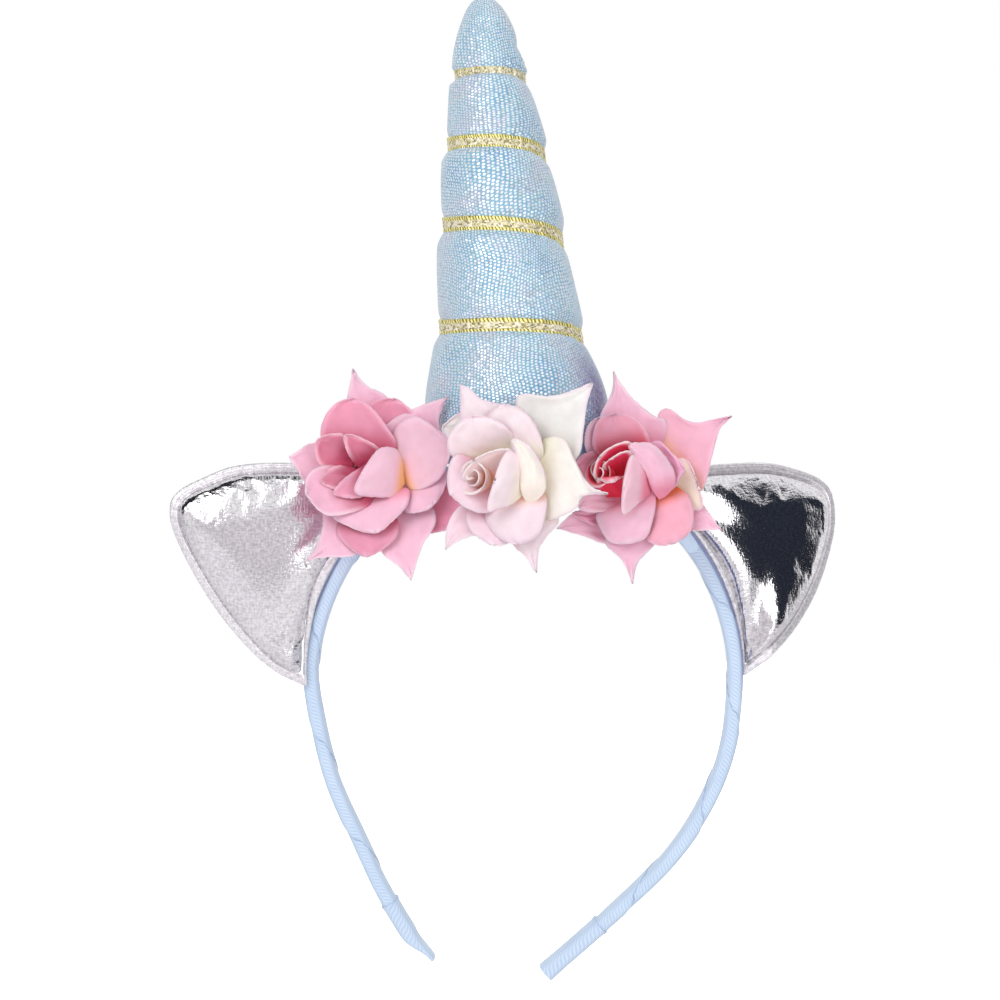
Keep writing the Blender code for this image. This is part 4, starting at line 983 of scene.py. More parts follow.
RIGHT_PETALS = (
    {"layer": 0, "pointed": True, "belly": -1, "roll": 0.6, "tones": "apricot",
     "left": ((0.7, 3.6, 1), (2.5, 8.9, 3), (2.5, 15.6, 5), (2.1, 19.4, 6), (5.1, 21.5, 6.5),
              (12.2, 17.4, 7)),
     "right": ((6.0, 0.1, 1), (14.0, -2.6, 4), (16.4, 1.8, 6), (17.9, 8.0, 7), (20.3, 16.0, 7.5)),
     "tip": (23.3, 19.0, 8)},
    {"layer": 0, "pointed": True, "belly": 0.8, "roll": 0.6, "tones": "rose",
     "left": ((-3.7, 2.7, 1), (-13.9, 9.8, 4), (-14.8, 18.2, 6), (-11.2, 26.1, 7)),
     "right": ((0.7, 4.5, 1), (5.1, 12.5, 4), (4.7, 18.2, 6), (1.1, 19.3, 6.5), (-5.9, 25.2, 7)),
     "tip": (-10.7, 32.0, 7)},
    {"layer": 0, "pointed": True, "belly": -0.8, "roll": 0.5, "tones": "rose",
     "left": ((5.1, -0.8, 1), (12.7, -2.1, 4), (15.7, -7.0, 6)),
     "right": ((4.3, -4.4, 1), (7.8, -12.8, 4), (13.1, -13.7, 6.5)),
     "tip": (20.6, -13.7, 7)},
    {"layer": 0, "pointed": True, "belly": -0.9, "roll": 0.5, "tones": "rose",
     "left": ((-6.0, -2.1, 1), (-14.8, -6.6, 4), (-22.3, -8.8, 5.5)),
     "right": ((-3.7, -5.3, 1), (-10.4, -17.2, 4), (-19.2, -15.5, 5.5)),
     "tip": (-27.1, -13.2, 6)},
    {"layer": 0, "pointed": True, "belly": 1, "roll": 0.6, "tones": "rose",
     "left": ((-4.6, -5.3, 1), (-9.5, -13.2, 4), (-13.0, -17.2, 6), (-8.4, -22.0, 6.5)),
     "right": ((1.6, -5.3, 1), (3.8, -13.2, 4), (1.1, -18.1, 6), (-3.7, -22.9, 6.5)),
     "tip": (-5.2, -29.2, 7)},
    {"layer": 1, "pointed": False, "belly": -0.8, "roll": 0.8, "tones": "deep",
     "left": ((-10.8, 5.4, 4), (-15.2, 9.1, 8), (-20.0, 7.8, 9.5)),
     "right": ((-11.2, -1.7, 4), (-15.2, -2.1, 8), (-18.2, 0.1, 10)),
     "tip": (-21.4, 5.4, 10)},
    {"layer": 1, "pointed": False, "belly": -0.8, "roll": 0.6, "tones": "deep",
     "left": ((-10.4, -7.0, 3), (-17.4, -8.1, 6), (-20.9, -8.1, 7)),
     "right": ((-9.0, -10.6, 3), (-14.8, -12.5, 6), (-19.2, -11.2, 7)),
     "tip": (-22.6, -9.0, 7.5)},
    {"layer": 1, "pointed": False, "belly": -1, "roll": 0.6, "tones": "melon",
     "left": ((4.7, 3.6, 3), (7.3, 6.7, 6), (10.6, 6.2, 7.5)),
     "right": ((6.9, -3.5, 3), (12.2, -7.9, 6), (15.0, -6.8, 8)),
     "tip": (13.3, 0.1, 8.5)},
    {"layer": 1, "pointed": False, "belly": -1.4, "roll": 0.8, "tones": "rose",
     "left": ((-9.0, 4.5, 4), (-16.5, 7.1, 7), (-18.9, 10.6, 9), (-18.3, 15.9, 10.5)),
     "right": ((-2.8, 5.4, 4), (-3.7, 10.7, 8), (-6.3, 15.9, 10.5), (-9.9, 18.9, 11)),
     "tip": (-14.9, 18.5, 11)},
    {"layer": 1, "pointed": False, "belly": -1.8, "roll": 1, "tones": "blaze",
     "left": ((-8.1, 3.6, 5), (-15.2, 8.0, 9), (-16.8, 11.5, 11), (-15.3, 17.6, 12.5)),
     "right": ((0.7, 4.9, 5), (0.3, 9.8, 9), (-1.7, 15.2, 12), (-5.9, 18.9, 12.5)),
     "tip": (-10.5, 19.6, 12.5)},
    {"layer": 1, "pointed": False, "belly": -0.8, "roll": 1, "tones": "lilac",
     "left": ((0.7, 4.9, 5), (-0.4, 10.6, 9), (2.5, 11.9, 11), (6.6, 7.8, 12.5)),
     "right": ((4.2, -2.6, 5), (6.7, -1.7, 9), (8.6, 1.8, 12)),
     "tip": (9.2, 4.2, 13)},
    {"layer": 1, "pointed": False, "belly": 1.4, "roll": 1.2, "tones": "ember",
     "left": ((0.7, -2.6, 5), (0.7, -11.0, 8), (-1.3, -15.8, 9.5), (1.6, -17.8, 10.5)),
     "right": ((6.9, -0.6, 5), (10.9, -3.9, 8), (12.3, -8.7, 10), (11.3, -13.8, 11)),
     "tip": (6.9, -17.2, 11)},
    {"layer": 1, "pointed": False, "belly": 1.8, "roll": 1.2, "tones": "rose",
     "left": ((-7.3, -5.7, 5), (-15.1, -8.8, 8), (-14.4, -12.9, 10), (-11.6, -16.9, 11)),
     "right": ((0.3, 0.1, 6), (1.5, -5.2, 9), (0.3, -11.4, 11), (-1.7, -15.8, 11.5)),
     "tip": (-6.8, -17.3, 11.5)},
    {"layer": 1, "pointed": False, "belly": -0.6, "roll": 0.8, "tones": "rose",
     "left": ((-8.6, -3.5, 6), (-15.6, -2.8, 9), (-19.5, -3.9, 11)),
     "right": ((-8.1, -6.3, 6), (-12.1, -8.1, 9), (-17.3, -8.6, 11.5)),
     "tip": (-20.9, -7.3, 12)},
    {"layer": 1, "pointed": False, "belly": 1.8, "roll": 0.6, "tones": "rose",
     "left": ((2.5, -5.0, 8), (0.3, -2.1, 11), (-1.9, 3.1, 14), (-5.4, 7.7, 15.5)),
     "right": ((4.2, -4.3, 8), (6.8, -1.0, 11), (6.8, 2.7, 13.5), (4.2, 7.3, 15), (0.3, 11.0, 16),
               (-3.7, 11.5, 16)),
     "tip": (-6.7, 10.8, 16)},
    {"layer": 2, "pointed": False, "belly": -1.6, "roll": 0.5, "tones": "throat",
     "left": ((-12.1, -2.6, 8), (-15.5, 0.1, 12), (-16.5, 2.9, 15)),
     "right": ((-3.7, 2.7, 8), (-3.7, 8.0, 12), (-6.3, 11.7, 15.5), (-10.7, 10.4, 16.5)),
     "tip": (-14.8, 7.3, 17)},
    {"layer": 2, "pointed": False, "belly": -0.8, "roll": 0.5, "tones": "throat",
     "left": ((-11.6, 0.5, 9), (-13.4, 3.1, 13), (-13.8, 4.9, 15.5)),
     "right": ((-7.7, 1.4, 9), (-5.9, 5.3, 13), (-5.5, 8.6, 16), (-8.1, 8.6, 17)),
     "tip": (-10.9, 7.1, 17.5)},
    {"layer": 2, "pointed": False, "belly": 1.2, "roll": 0.5, "tones": "throat",
     "left": ((-12.5, -4.3, 9), (-15.3, -1.2, 12), (-15.4, 1.2, 15), (-12.9, 0.1, 16)),
     "right": ((-6.3, -4.3, 9), (-6.8, -1.2, 13), (-7.4, 2.0, 16)),
     "tip": (-10.5, 0.4, 16.5)},
    {"layer": 2, "pointed": False, "belly": 2.4, "roll": 0.4, "tones": "pale",
     "left": ((0.0, 0.1, 9), (-2.4, 4.2, 13), (-5.5, 7.9, 16.5), (-7.2, 3.6, 17.5)),
     "right": ((-0.2, -3.0, 9), (-4.1, -6.1, 13), (-8.1, -8.9, 16.5)),
     "tip": (-8.2, -2.6, 18)},
)

# Each rose: where it sits (as shares of the hoop, of its own radius and of the horn's base radius), which way
# its outer layer and its bud face, its petals, its bud's turn and its colour slot.
ROSES = (
    {"name": "rose_left", "perch": -0.224, "outside": 0.389, "ahead": 0.496, "seat": -0.27,
     "faces": ({"up_deg": 20, "left_deg": 2}, {"up_deg": 34, "left_deg": 22}),
     "petals": LEFT_PETALS,
     "bud": {"at": (-5.0, 2.0, 1.5), "radius": 0.0034, "height": 0.0036, "turn_deg": 20},
     "bud_tones": "pocket", "slot": "pink_petals"},
    {"name": "rose_middle", "perch": -0.028, "outside": -0.037, "ahead": 1.088, "seat": 0.0,
     "faces": ({"up_deg": 9, "left_deg": 8}, {"up_deg": 12, "left_deg": 32}),
     "petals": MIDDLE_PETALS,
     "bud": {"at": (-12.2, 0.6, 8.5), "radius": 0.0050, "height": 0.0075, "turn_deg": 200},
     "bud_tones": "bud", "slot": "cream_petals"},
    {"name": "rose_right", "perch": 0.141, "outside": 0.194, "ahead": 0.553, "seat": 0.25,
     "faces": ({"up_deg": 8, "left_deg": 2}, {"up_deg": 12, "left_deg": 30}),
     "petals": RIGHT_PETALS,
     "bud": {"at": (-12.2, 2.6, 8.5), "radius": 0.0044, "height": 0.0075, "turn_deg": 120},
     "bud_tones": "throat", "slot": "deep_pink_petals"},
)
LAYER_NAMES = ("outer_petals", "middle_petals", "inner_petals")

# How petal cloth is coloured: at its foot, its middle and its rim, and how far the foot's colour reaches.
# The deep feet of the cup, bowl and pocket tones are partly painted shade inside the rose's cup, and the
# lighter rims are partly a painted highlight where the cut edge catches the light; the rest is the cloth's
# dye.
TONES = {
    "rose": ("#EE97B0", "#F5C1D5", "#F9D2E1", 0.45),
    "deep": ("#D6607F", "#E89BB5", "#F3B9CD", 0.55),
    "cup": ("#D45C7C", "#EB9FB8", "#F5B9CE", 0.62),
    "bowl": ("#CF5676", "#F3BBD0", "#FAD6E4", 0.62),
    "pocket": ("#C8496B", "#E088A1", "#F4BDCD", 0.60),
    "fruit": ("#FFC27F", "#F6C8D8", "#F8CCDF", 0.32),
    "grey": ("#D9D9D2", "#F0EDE9", "#F6E6EC", 0.50),
    "blush": ("#F9EFDC", "#F9E6EB", "#F8DEE8", 0.45),
    "milk": ("#FBEFE2", "#FBF0E6", "#FAE6EC", 0.45),
    "pink": ("#F0B7C9", "#F6D7E2", "#FAE3EC", 0.50),
    "cream": ("#F7F2D2", "#F9F1EA", "#F8E3EA", 0.42),
    "peach": ("#F9B88A", "#F6DDE5", "#F6DBE5", 0.40),
    "bud": ("#F2AA82", "#F8DCDA", "#FCEDF0", 0.42),
    "apricot": ("#F9BF92", "#F4BACD", "#F6C0D4", 0.48),
    "melon": ("#FFEFD2", "#FFEDDF", "#FBDCE4", 0.62),
    "blaze": ("#D8123F", "#F2AABF", "#F5BBCF", 0.70),
    "throat": ("#E81440", "#EA3A62", "#FFE9EE", 0.90),
    "lilac": ("#E56E93", "#F0B0CE", "#F4BDD8", 0.45),
    "ember": ("#EE7A48", "#F4B0C2", "#F6BCCF", 0.32),
    "pale": ("#EE86A1", "#F8C8D7", "#FDE2EA", 0.40),
}


def petal_dye_and_painted_light(tones, along, edge):
    """A petal's colours: the foot's runs into the middle's, and that into the rim's, edge being how many
    millimetres the rim is away. The rim's colour, within 1.6 mm of the edge, is partly dye and partly a
    painted highlight, and the deep foot of a cup, bowl or pocket petal is partly painted shade."""
    foot, middle, rim = (np.array(linear(tone)) for tone in TONES[tones][:3])
    reach = TONES[tones][3]
    low = smooth_step(0.3 * reach, reach, along)[:, None]
    high = (1 - smooth_step(0.1, 1.6, edge))[:, None] * smooth_step(0.25, 0.5, along)[:, None]
    return (foot * (1 - low) + middle * low) * (1 - high) + rim * high


def petal_edge(points, petal, other):
    """One edge of a petal, from its foot to its tip, as a function of the share of its length. A round tip
    runs on into the other edge, and a pointed one doesn't."""
    chain = [np.array(point, float) for point in (*points, petal["tip"])]
    steps = 12
    if petal["pointed"]:
        line = spline(chain, steps)
    else:
        line = spline([*chain, np.array(other[-1], float)], steps)[: steps * (len(chain) - 1) + 1]
    lengths = np.linalg.norm(np.diff(line, axis=0), axis=1)
    walked = np.concatenate([[0], np.cumsum(lengths)]) / lengths.sum()
    return lambda along: np.column_stack([np.interp(along, walked, line[:, i]) for i in range(3)])


def lay_petal(name, rose, petal, seed, sizes):
    """One petal: cloth pressed to a cup or a bulge between its two edges, its rim rolled back and rippled."""
    left = petal_edge(petal["left"], petal, petal["right"])
    right = petal_edge(petal["right"], petal, petal["left"])
    tip = np.array(petal["tip"], float)
    phase = np.random.default_rng(seed).uniform(0, 2 * math.pi)
    every = np.linspace(0, 1, 60)
    widest = np.linalg.norm(right(every) - left(every), axis=1).max()

    def laid(across, along):
        a, b = left(along), right(along)
        chord = np.linalg.norm(b - a, axis=1)
        spot = a + (b - a) * across[:, None]
        to_tip = np.linalg.norm((a + b) / 2 - tip, axis=1)
        edge = np.minimum(chord * np.minimum(across, 1 - across), to_tip)
        return spot, chord, edge

    def dye_and_painted_light(across, along):
        return petal_dye_and_painted_light(petal["tones"], along, laid(across, along)[2])

    def place(across, along):
        spot, chord, edge = laid(across, along)
        u = 2 * across - 1
        grown = smooth_step(0.0, 0.35, along)
        spot[:, 2] += petal["belly"] * (1 - u**2) * np.sqrt(chord / widest) * grown
        # The rim's last millimetre is rolled back.
        spot[:, 2] -= 0.6 * petal["roll"] * np.exp(-(edge ** 2)) * smooth_step(0.15, 0.5, along)
        # The rim waves by 0.3 mm.
        wave = np.sin(11 * along * np.sign(u) + 4 * u + phase)
        spot[:, 2] += 0.30 * wave * np.exp(-((edge / 2.6) ** 2)) * grown
        # Soft folds run from the foot, and the cut edge is a little uneven.
        spot[:, 2] += 0.16 * np.sin(7 * u + 1.5 * np.sin(5 * along + phase)) * grown * np.minimum(edge, 1)
        nick = np.sin(47 * along + 3 * phase) + np.sin(83 * along * np.sign(u) + phase)
        spot[:, 1] += 0.07 * nick * np.exp(-((edge / 0.5) ** 2)) * grown
        return rose.points(spot * sizes.radius / DRAWN_RADIUS)

    obj = laid_sheet(name, 22, 26, place, dye_and_painted_light)
    weld(obj, 0.12 * MM)
    apply_modifier(obj, "cloth", "SOLIDIFY", thickness=sizes.cloth, offset=-1)
    return obj


def lay_bud(name, rose, sizes):
    """The furled bud: one strip of petal cloth wound in on itself, its rim rolled out in lobes."""
    right, up, forward = rose.directions(3)
    bud = rose.row["bud"]
    turns = 2.35
    start = math.radians(bud["turn_deg"])
    base = rose.points(np.array([bud["at"]]) * sizes.radius / DRAWN_RADIUS)[0]

    def place(across, along):
        angle = start + 2 * math.pi * turns * across
        wound = (1 - across) ** 0.9
        body = 0.62 + 0.38 * np.sin(math.pi * np.clip(along * 0.62 + 0.12, 0, 1))
        radius = bud["radius"] * (0.10 + 0.90 * wound) * body
        lobe = 0.5 + 0.5 * np.cos(1.5 * angle)
        radius = radius + bud["radius"] * 0.16 * (0.4 + wound) * lobe * smooth_step(0.75, 1.0, along)
        height = bud["height"] * (0.84 + 0.16 * (1 - wound) - 0.10 * (1 - lobe))
        lift = height * along - 1.2 * MM * wound * smooth_step(0.88, 1.0, along)
        turned = right * np.cos(angle)[:, None] + up * np.sin(angle)[:, None]
        return base + turned * radius[:, None] + forward * lift[:, None]

    def dye_and_painted_light(across, along):
        return petal_dye_and_painted_light(rose.row["bud_tones"], 0.5 * along, (1 - along) * bud["height"] / MM)

    obj = laid_sheet(name, 150, 16, place, dye_and_painted_light)
    apply_modifier(obj, "cloth", "SOLIDIFY", thickness=sizes.cloth, offset=-1)
    return obj


# Settings


class BandSettings(bpy.types.PropertyGroup):
    inner_half_width: bpy.props.FloatProperty(
        name="Inner Half Width", description="Half the hoop's widest inside width", default=0.0606,
        unit="LENGTH",
    )
    inner_rise: bpy.props.FloatProperty(
        name="Inner Rise", description="From the widest level up to the crown, inside", default=0.0646,
        unit="LENGTH",
    )
    leg_drop: bpy.props.FloatProperty(
        name="Leg Drop", description="From the widest level down to the tips", default=0.0875, unit="LENGTH"
    )
    tilt_deg: bpy.props.FloatProperty(
        name="Tilt", description="Degrees the hoop leans to its left", default=5.3
    )
    width: bpy.props.FloatProperty(
        name="Width", description="Width of the band, front to back", default=0.0090, unit="LENGTH"
    )
    tip_width: bpy.props.FloatProperty(
        name="Tip Width", description="Width of the band at its tips", default=0.0074, unit="LENGTH"
    )
    thickness: bpy.props.FloatProperty(
        name="Thickness", description="Thickness of the wrapped band", default=0.0047, unit="LENGTH"
    )
    tip_thickness: bpy.props.FloatProperty(
        name="Tip Thickness", description="Thickness of the band at its tips", default=0.0045, unit="LENGTH"
    )
    wrap_pitch: bpy.props.FloatProperty(
        name="Wrap Pitch", description="How far along the band one turn of the ribbon goes", default=0.033,
        unit="LENGTH",
    )
    wrap_step: bpy.props.FloatProperty(
        name="Wrap Step", description="How far the ribbon's lapped edge stands proud", default=0.00035,
        unit="LENGTH",
    )
    cuff_length: bpy.props.FloatProperty(
        name="Cuff Length", description="Length of the ribbon ends folded over the tips", default=0.0222,
        unit="LENGTH",
    )


class HornSettings(bpy.types.PropertyGroup):
    length: bpy.props.FloatProperty(
        name="Length", description="Length of the horn along its lean", default=0.1381, unit="LENGTH"
    )
    base_radius: bpy.props.FloatProperty(
        name="Base Radius", description="Radius of the horn's base", default=0.0262, unit="LENGTH"
    )
    bulge: bpy.props.FloatProperty(
        name="Bulge", description="How far the stuffing swells between the windings", default=0.0018,
        unit="LENGTH",
    )
    groove: bpy.props.FloatProperty(
        name="Groove", description="How deep the ribbon presses in", default=0.0012, unit="LENGTH"
    )
    pleat: bpy.props.FloatProperty(
        name="Pleat", description="Height of the gathers beside the ribbon", default=0.00016, unit="LENGTH"
    )
    base_x: bpy.props.FloatProperty(
        name="Base X", description="Middle of the base, left to right", default=-0.0012, unit="LENGTH"
    )
    lean_left: bpy.props.FloatProperty(
        name="Lean Left", description="How far the tip leans to the left", default=0.0106, unit="LENGTH"
    )
    lean_back: bpy.props.FloatProperty(
        name="Lean Back", description="How far the tip leans back", default=0.0366, unit="LENGTH"
    )
    seat_depth: bpy.props.FloatProperty(
        name="Seat Depth", description="How far the horn sits down over the band", default=0.0012,
        unit="LENGTH",
    )
    ribbon_width: bpy.props.FloatProperty(
        name="Ribbon Width", description="Width of the gold ribbon", default=0.0045, unit="LENGTH"
    )
    ribbon_thickness: bpy.props.FloatProperty(
        name="Ribbon Thickness", description="Thickness of the gold ribbon", default=0.0010, unit="LENGTH"
    )


class EarSettings(bpy.types.PropertyGroup):
    base: bpy.props.FloatProperty(
        name="Base", description="Length of an ear along the band", default=0.0640, unit="LENGTH"
    )
    reach: bpy.props.FloatProperty(
        name="Reach", description="From the band to an ear's tip", default=0.0530, unit="LENGTH"
    )
    puff: bpy.props.FloatProperty(
        name="Puff", description="Padding on each side of an ear's rim", default=0.0058, unit="LENGTH"
    )
    rim_width: bpy.props.FloatProperty(
        name="Rim Width", description="Width of the stitched rim", default=0.0030, unit="LENGTH"
    )
    rim_thickness: bpy.props.FloatProperty(
        name="Rim Thickness", description="Thickness of the stitched rim", default=0.0014, unit="LENGTH"
    )
    lap: bpy.props.FloatProperty(
        name="Lap", description="How far the left rim laps over the band", default=0.0016, unit="LENGTH"
    )
    edge_steps: bpy.props.IntProperty(
        name="Edge Steps", description="Points round an ear's outline", default=360, min=60
    )


class RoseSettings(bpy.types.PropertyGroup):
    radius: bpy.props.FloatProperty(
        name="Radius", description="Radius of a rose's outer petals", default=0.0320, unit="LENGTH"
    )
    cloth: bpy.props.FloatProperty(
        name="Cloth", description="Thickness of the petal cloth", default=0.00035, unit="LENGTH"
    )


def colour_setting(name, description, hex_colour):
    return bpy.props.FloatVectorProperty(
        name=name, description=description, default=srgb(hex_colour), subtype="COLOR_GAMMA", size=3, min=0,
        max=1,
    )


class ColourSettings(bpy.types.PropertyGroup):
    ribbon_light: colour_setting("Ribbon Light", "The band's ribbon where it is palest", "#D5E3F2")
    ribbon_dark: colour_setting("Ribbon Dark", "The band's ribbon where it is deepest", "#C3D6EA")
    knit_sky: colour_setting("Knit Sky", "The horn's fabric", "#89B4CB")
    knit_deep: colour_setting("Knit Deep", "The horn's fabric where it is bluest", "#76A6C6")
    knit_lilac: colour_setting("Knit Lilac", "The horn's fabric where it turns to lilac", "#9BAEC4")
    foil: colour_setting("Foil", "The printed foil dots", "#F4FAFF")
    gold: colour_setting("Gold", "The gold ribbon's yarn", "#C2AF40")
    gold_bright: colour_setting("Gold Bright", "The yarn where it glints", "#EFE486")
    gold_dark: colour_setting("Gold Dark", "Between the yarns", "#6E5F1E")
    silver: colour_setting("Silver", "The ears' foil", "#F1F0F2")
    silver_shade: colour_setting("Silver Shade", "The ears' foil where it is rubbed", "#DAD6DC")
    rib_pitch_mm: bpy.props.FloatProperty(
        name="Rib Pitch", description="Millimetres between the band ribbon's ribs", default=1.0
    )
    rib_slant_deg: bpy.props.FloatProperty(
        name="Rib Slant", description="How far the ribs slant across the band", default=33.0
    )
    dot_pitch_mm: bpy.props.FloatProperty(
        name="Dot Pitch", description="Millimetres between foil dots", default=1.0
    )
    thread_pitch_mm: bpy.props.FloatProperty(
        name="Slub Pitch", description="Millimetres between the lamé's slubs", default=0.6
    )


class StageSettings(bpy.types.PropertyGroup):
    distance: bpy.props.FloatProperty(
        name="Distance", description="From the camera to its target", default=1.10, unit="LENGTH"
    )
    elevation_deg: bpy.props.FloatProperty(
        name="Elevation", description="Degrees the camera looks down", default=SEEN_FROM_DEG
    )
    lens: bpy.props.FloatProperty(name="Lens", description="Focal length in millimetres", default=134.64)
    floor_z: bpy.props.FloatProperty(
        name="Floor Height", description="Height of the floor under the held-up headband", default=-0.30,
        unit="LENGTH",
    )


# Operators


class HEADBAND_OT_stage(bpy.types.Operator):
    """Pale floor, soft studio light and the camera"""

    bl_idname = "headband.stage"
    bl_label = "Stage"

    def execute(self, context):
        sizes = context.scene.headband_stage
        bpy.ops.object.select_all(action="DESELECT")
        bpy.ops.mesh.primitive_circle_add(
            vertices=96, radius=1.2, fill_type="NGON", location=(0, 0, sizes.floor_z)
        )
        floor = context.object
        floor.name = "floor"
        # Matt studio paper: it glows to the camera alone, so it looks plain white, and it is pale grey in the
        # mirror of the ears.
        paper, tree, shader = new_finish(
            "pale_paper",
            {"Roughness": 0.9, "Base Color": linear("#F6F3F6"), "Emission Color": linear("#FFFFFF")},
        )
        path = node(tree, "ShaderNodeLightPath")
        tree.links.new(shader.inputs["Emission Strength"], path.outputs["Is Camera Ray"])
        floor.data.materials.append(paper)
        self.light_room(context.scene)
        self.add_lights()
        self.add_camera(context, sizes)
        context.scene.view_settings.view_transform = "Standard"
        return {"FINISHED"}

    def light_room(self, scene):
        """A white room, greyer round the camera, with dark curtains to its sides and overhead."""
        world = bpy.data.worlds.new("studio")
        world.use_nodes = True
        scene.world = world
        tree = world.node_tree
        background = tree.nodes["Background"]
        where = node(tree, "ShaderNodeTexCoord")

        def towards(place):
            """How much a direction points at a place, as the cosine between them."""
            return node(
                tree, "ShaderNodeVectorMath", {1: place}, {0: where.outputs["Generated"]},
                operation="DOT_PRODUCT",
            )

        share = node(
            tree, "ShaderNodeMapRange", {"From Min": -1.0, "From Max": 1.0},
            {"Value": towards((0.0, -1.0, 0.0)).outputs["Value"]},
        )
        room = node(tree, "ShaderNodeValToRGB", links={"Fac": share.outputs["Result"]})
        # From behind the headband round to the camera.
        set_stops(room.color_ramp, (
            (0.0, "#FFFFFF"), (0.34, "#FFFFFF"), (0.38, "#26262A"), (0.70, "#26262A"), (0.75, "#FFFFFF"),
            (0.90, "#FFFFFF"), (0.94, "#E6E1E5"), (1.0, "#E6E1E5"),
        ))
        seen = room.outputs["Color"]
        # Gaps between the curtains, then the dark screen that the turned ear mirrors.
        for place, low, high, colour in (
            ((0.60, 0.0, 0.80), 0.75, 0.82, "#FFFFFF"),
            ((-0.75, 0.0, -0.66), 0.62, 0.75, "#DADADC"),
            ((0.918, -0.242, 0.316), 0.85, 0.91, "#2A2F3A"),
        ):
            covered = node(
                tree, "ShaderNodeMapRange", {"From Min": low, "From Max": high},
                {"Value": towards(place).outputs["Value"]}, interpolation_type="SMOOTHSTEP",
            )
            seen = node(
                tree, "ShaderNodeMix", {"B": linear(colour)},
                {"Factor": covered.outputs["Result"], "A": seen}, data_type="RGBA",
            ).outputs["Result"]
        # The camera itself sees plain white.
        path = node(tree, "ShaderNodeLightPath")
        backdrop = node(
            tree, "ShaderNodeMix", {"B": linear("#FFFFFF")},
            {"Factor": path.outputs["Is Camera Ray"], "A": seen}, data_type="RGBA",
        )
        tree.links.new(background.inputs["Color"], backdrop.outputs["Result"])
        background.inputs["Strength"].default_value = 1.0

    def add_lights(self):
        """Two soft boxes that face the middle: the key high on the left, the fill low on the right."""
        for name, place, size, power in (
            ("key_light", (-0.55, -0.80, 0.75), 0.7, 5.7),
            ("fill_light", (0.60, -0.90, 0.20), 0.5, 2.3),
        ):
            bpy.ops.object.light_add(type="AREA", location=place)
            light = bpy.context.object
            light.name = name
            light.data.size = size
            light.data.energy = power
            light.rotation_mode = "QUATERNION"
            light.rotation_quaternion = (-light.location).to_track_quat("-Z", "Y")

    def add_camera(self, context, sizes):
        """The camera, square to the front and looking a little down."""
        lift = math.radians(sizes.elevation_deg)
        target = np.array([AIM_ACROSS, -AIM_DOWN * math.sin(lift), -AIM_DOWN * math.cos(lift)])
        look = np.array([0.0, math.cos(lift), -math.sin(lift)])
        bpy.ops.object.camera_add(location=target - look * sizes.distance)
        camera = context.object
        camera.rotation_euler = (math.pi / 2 - lift, 0.0, 0.0)
        camera.data.lens = sizes.lens
        camera.data.sensor_width = 36.0
        context.scene.camera = camera


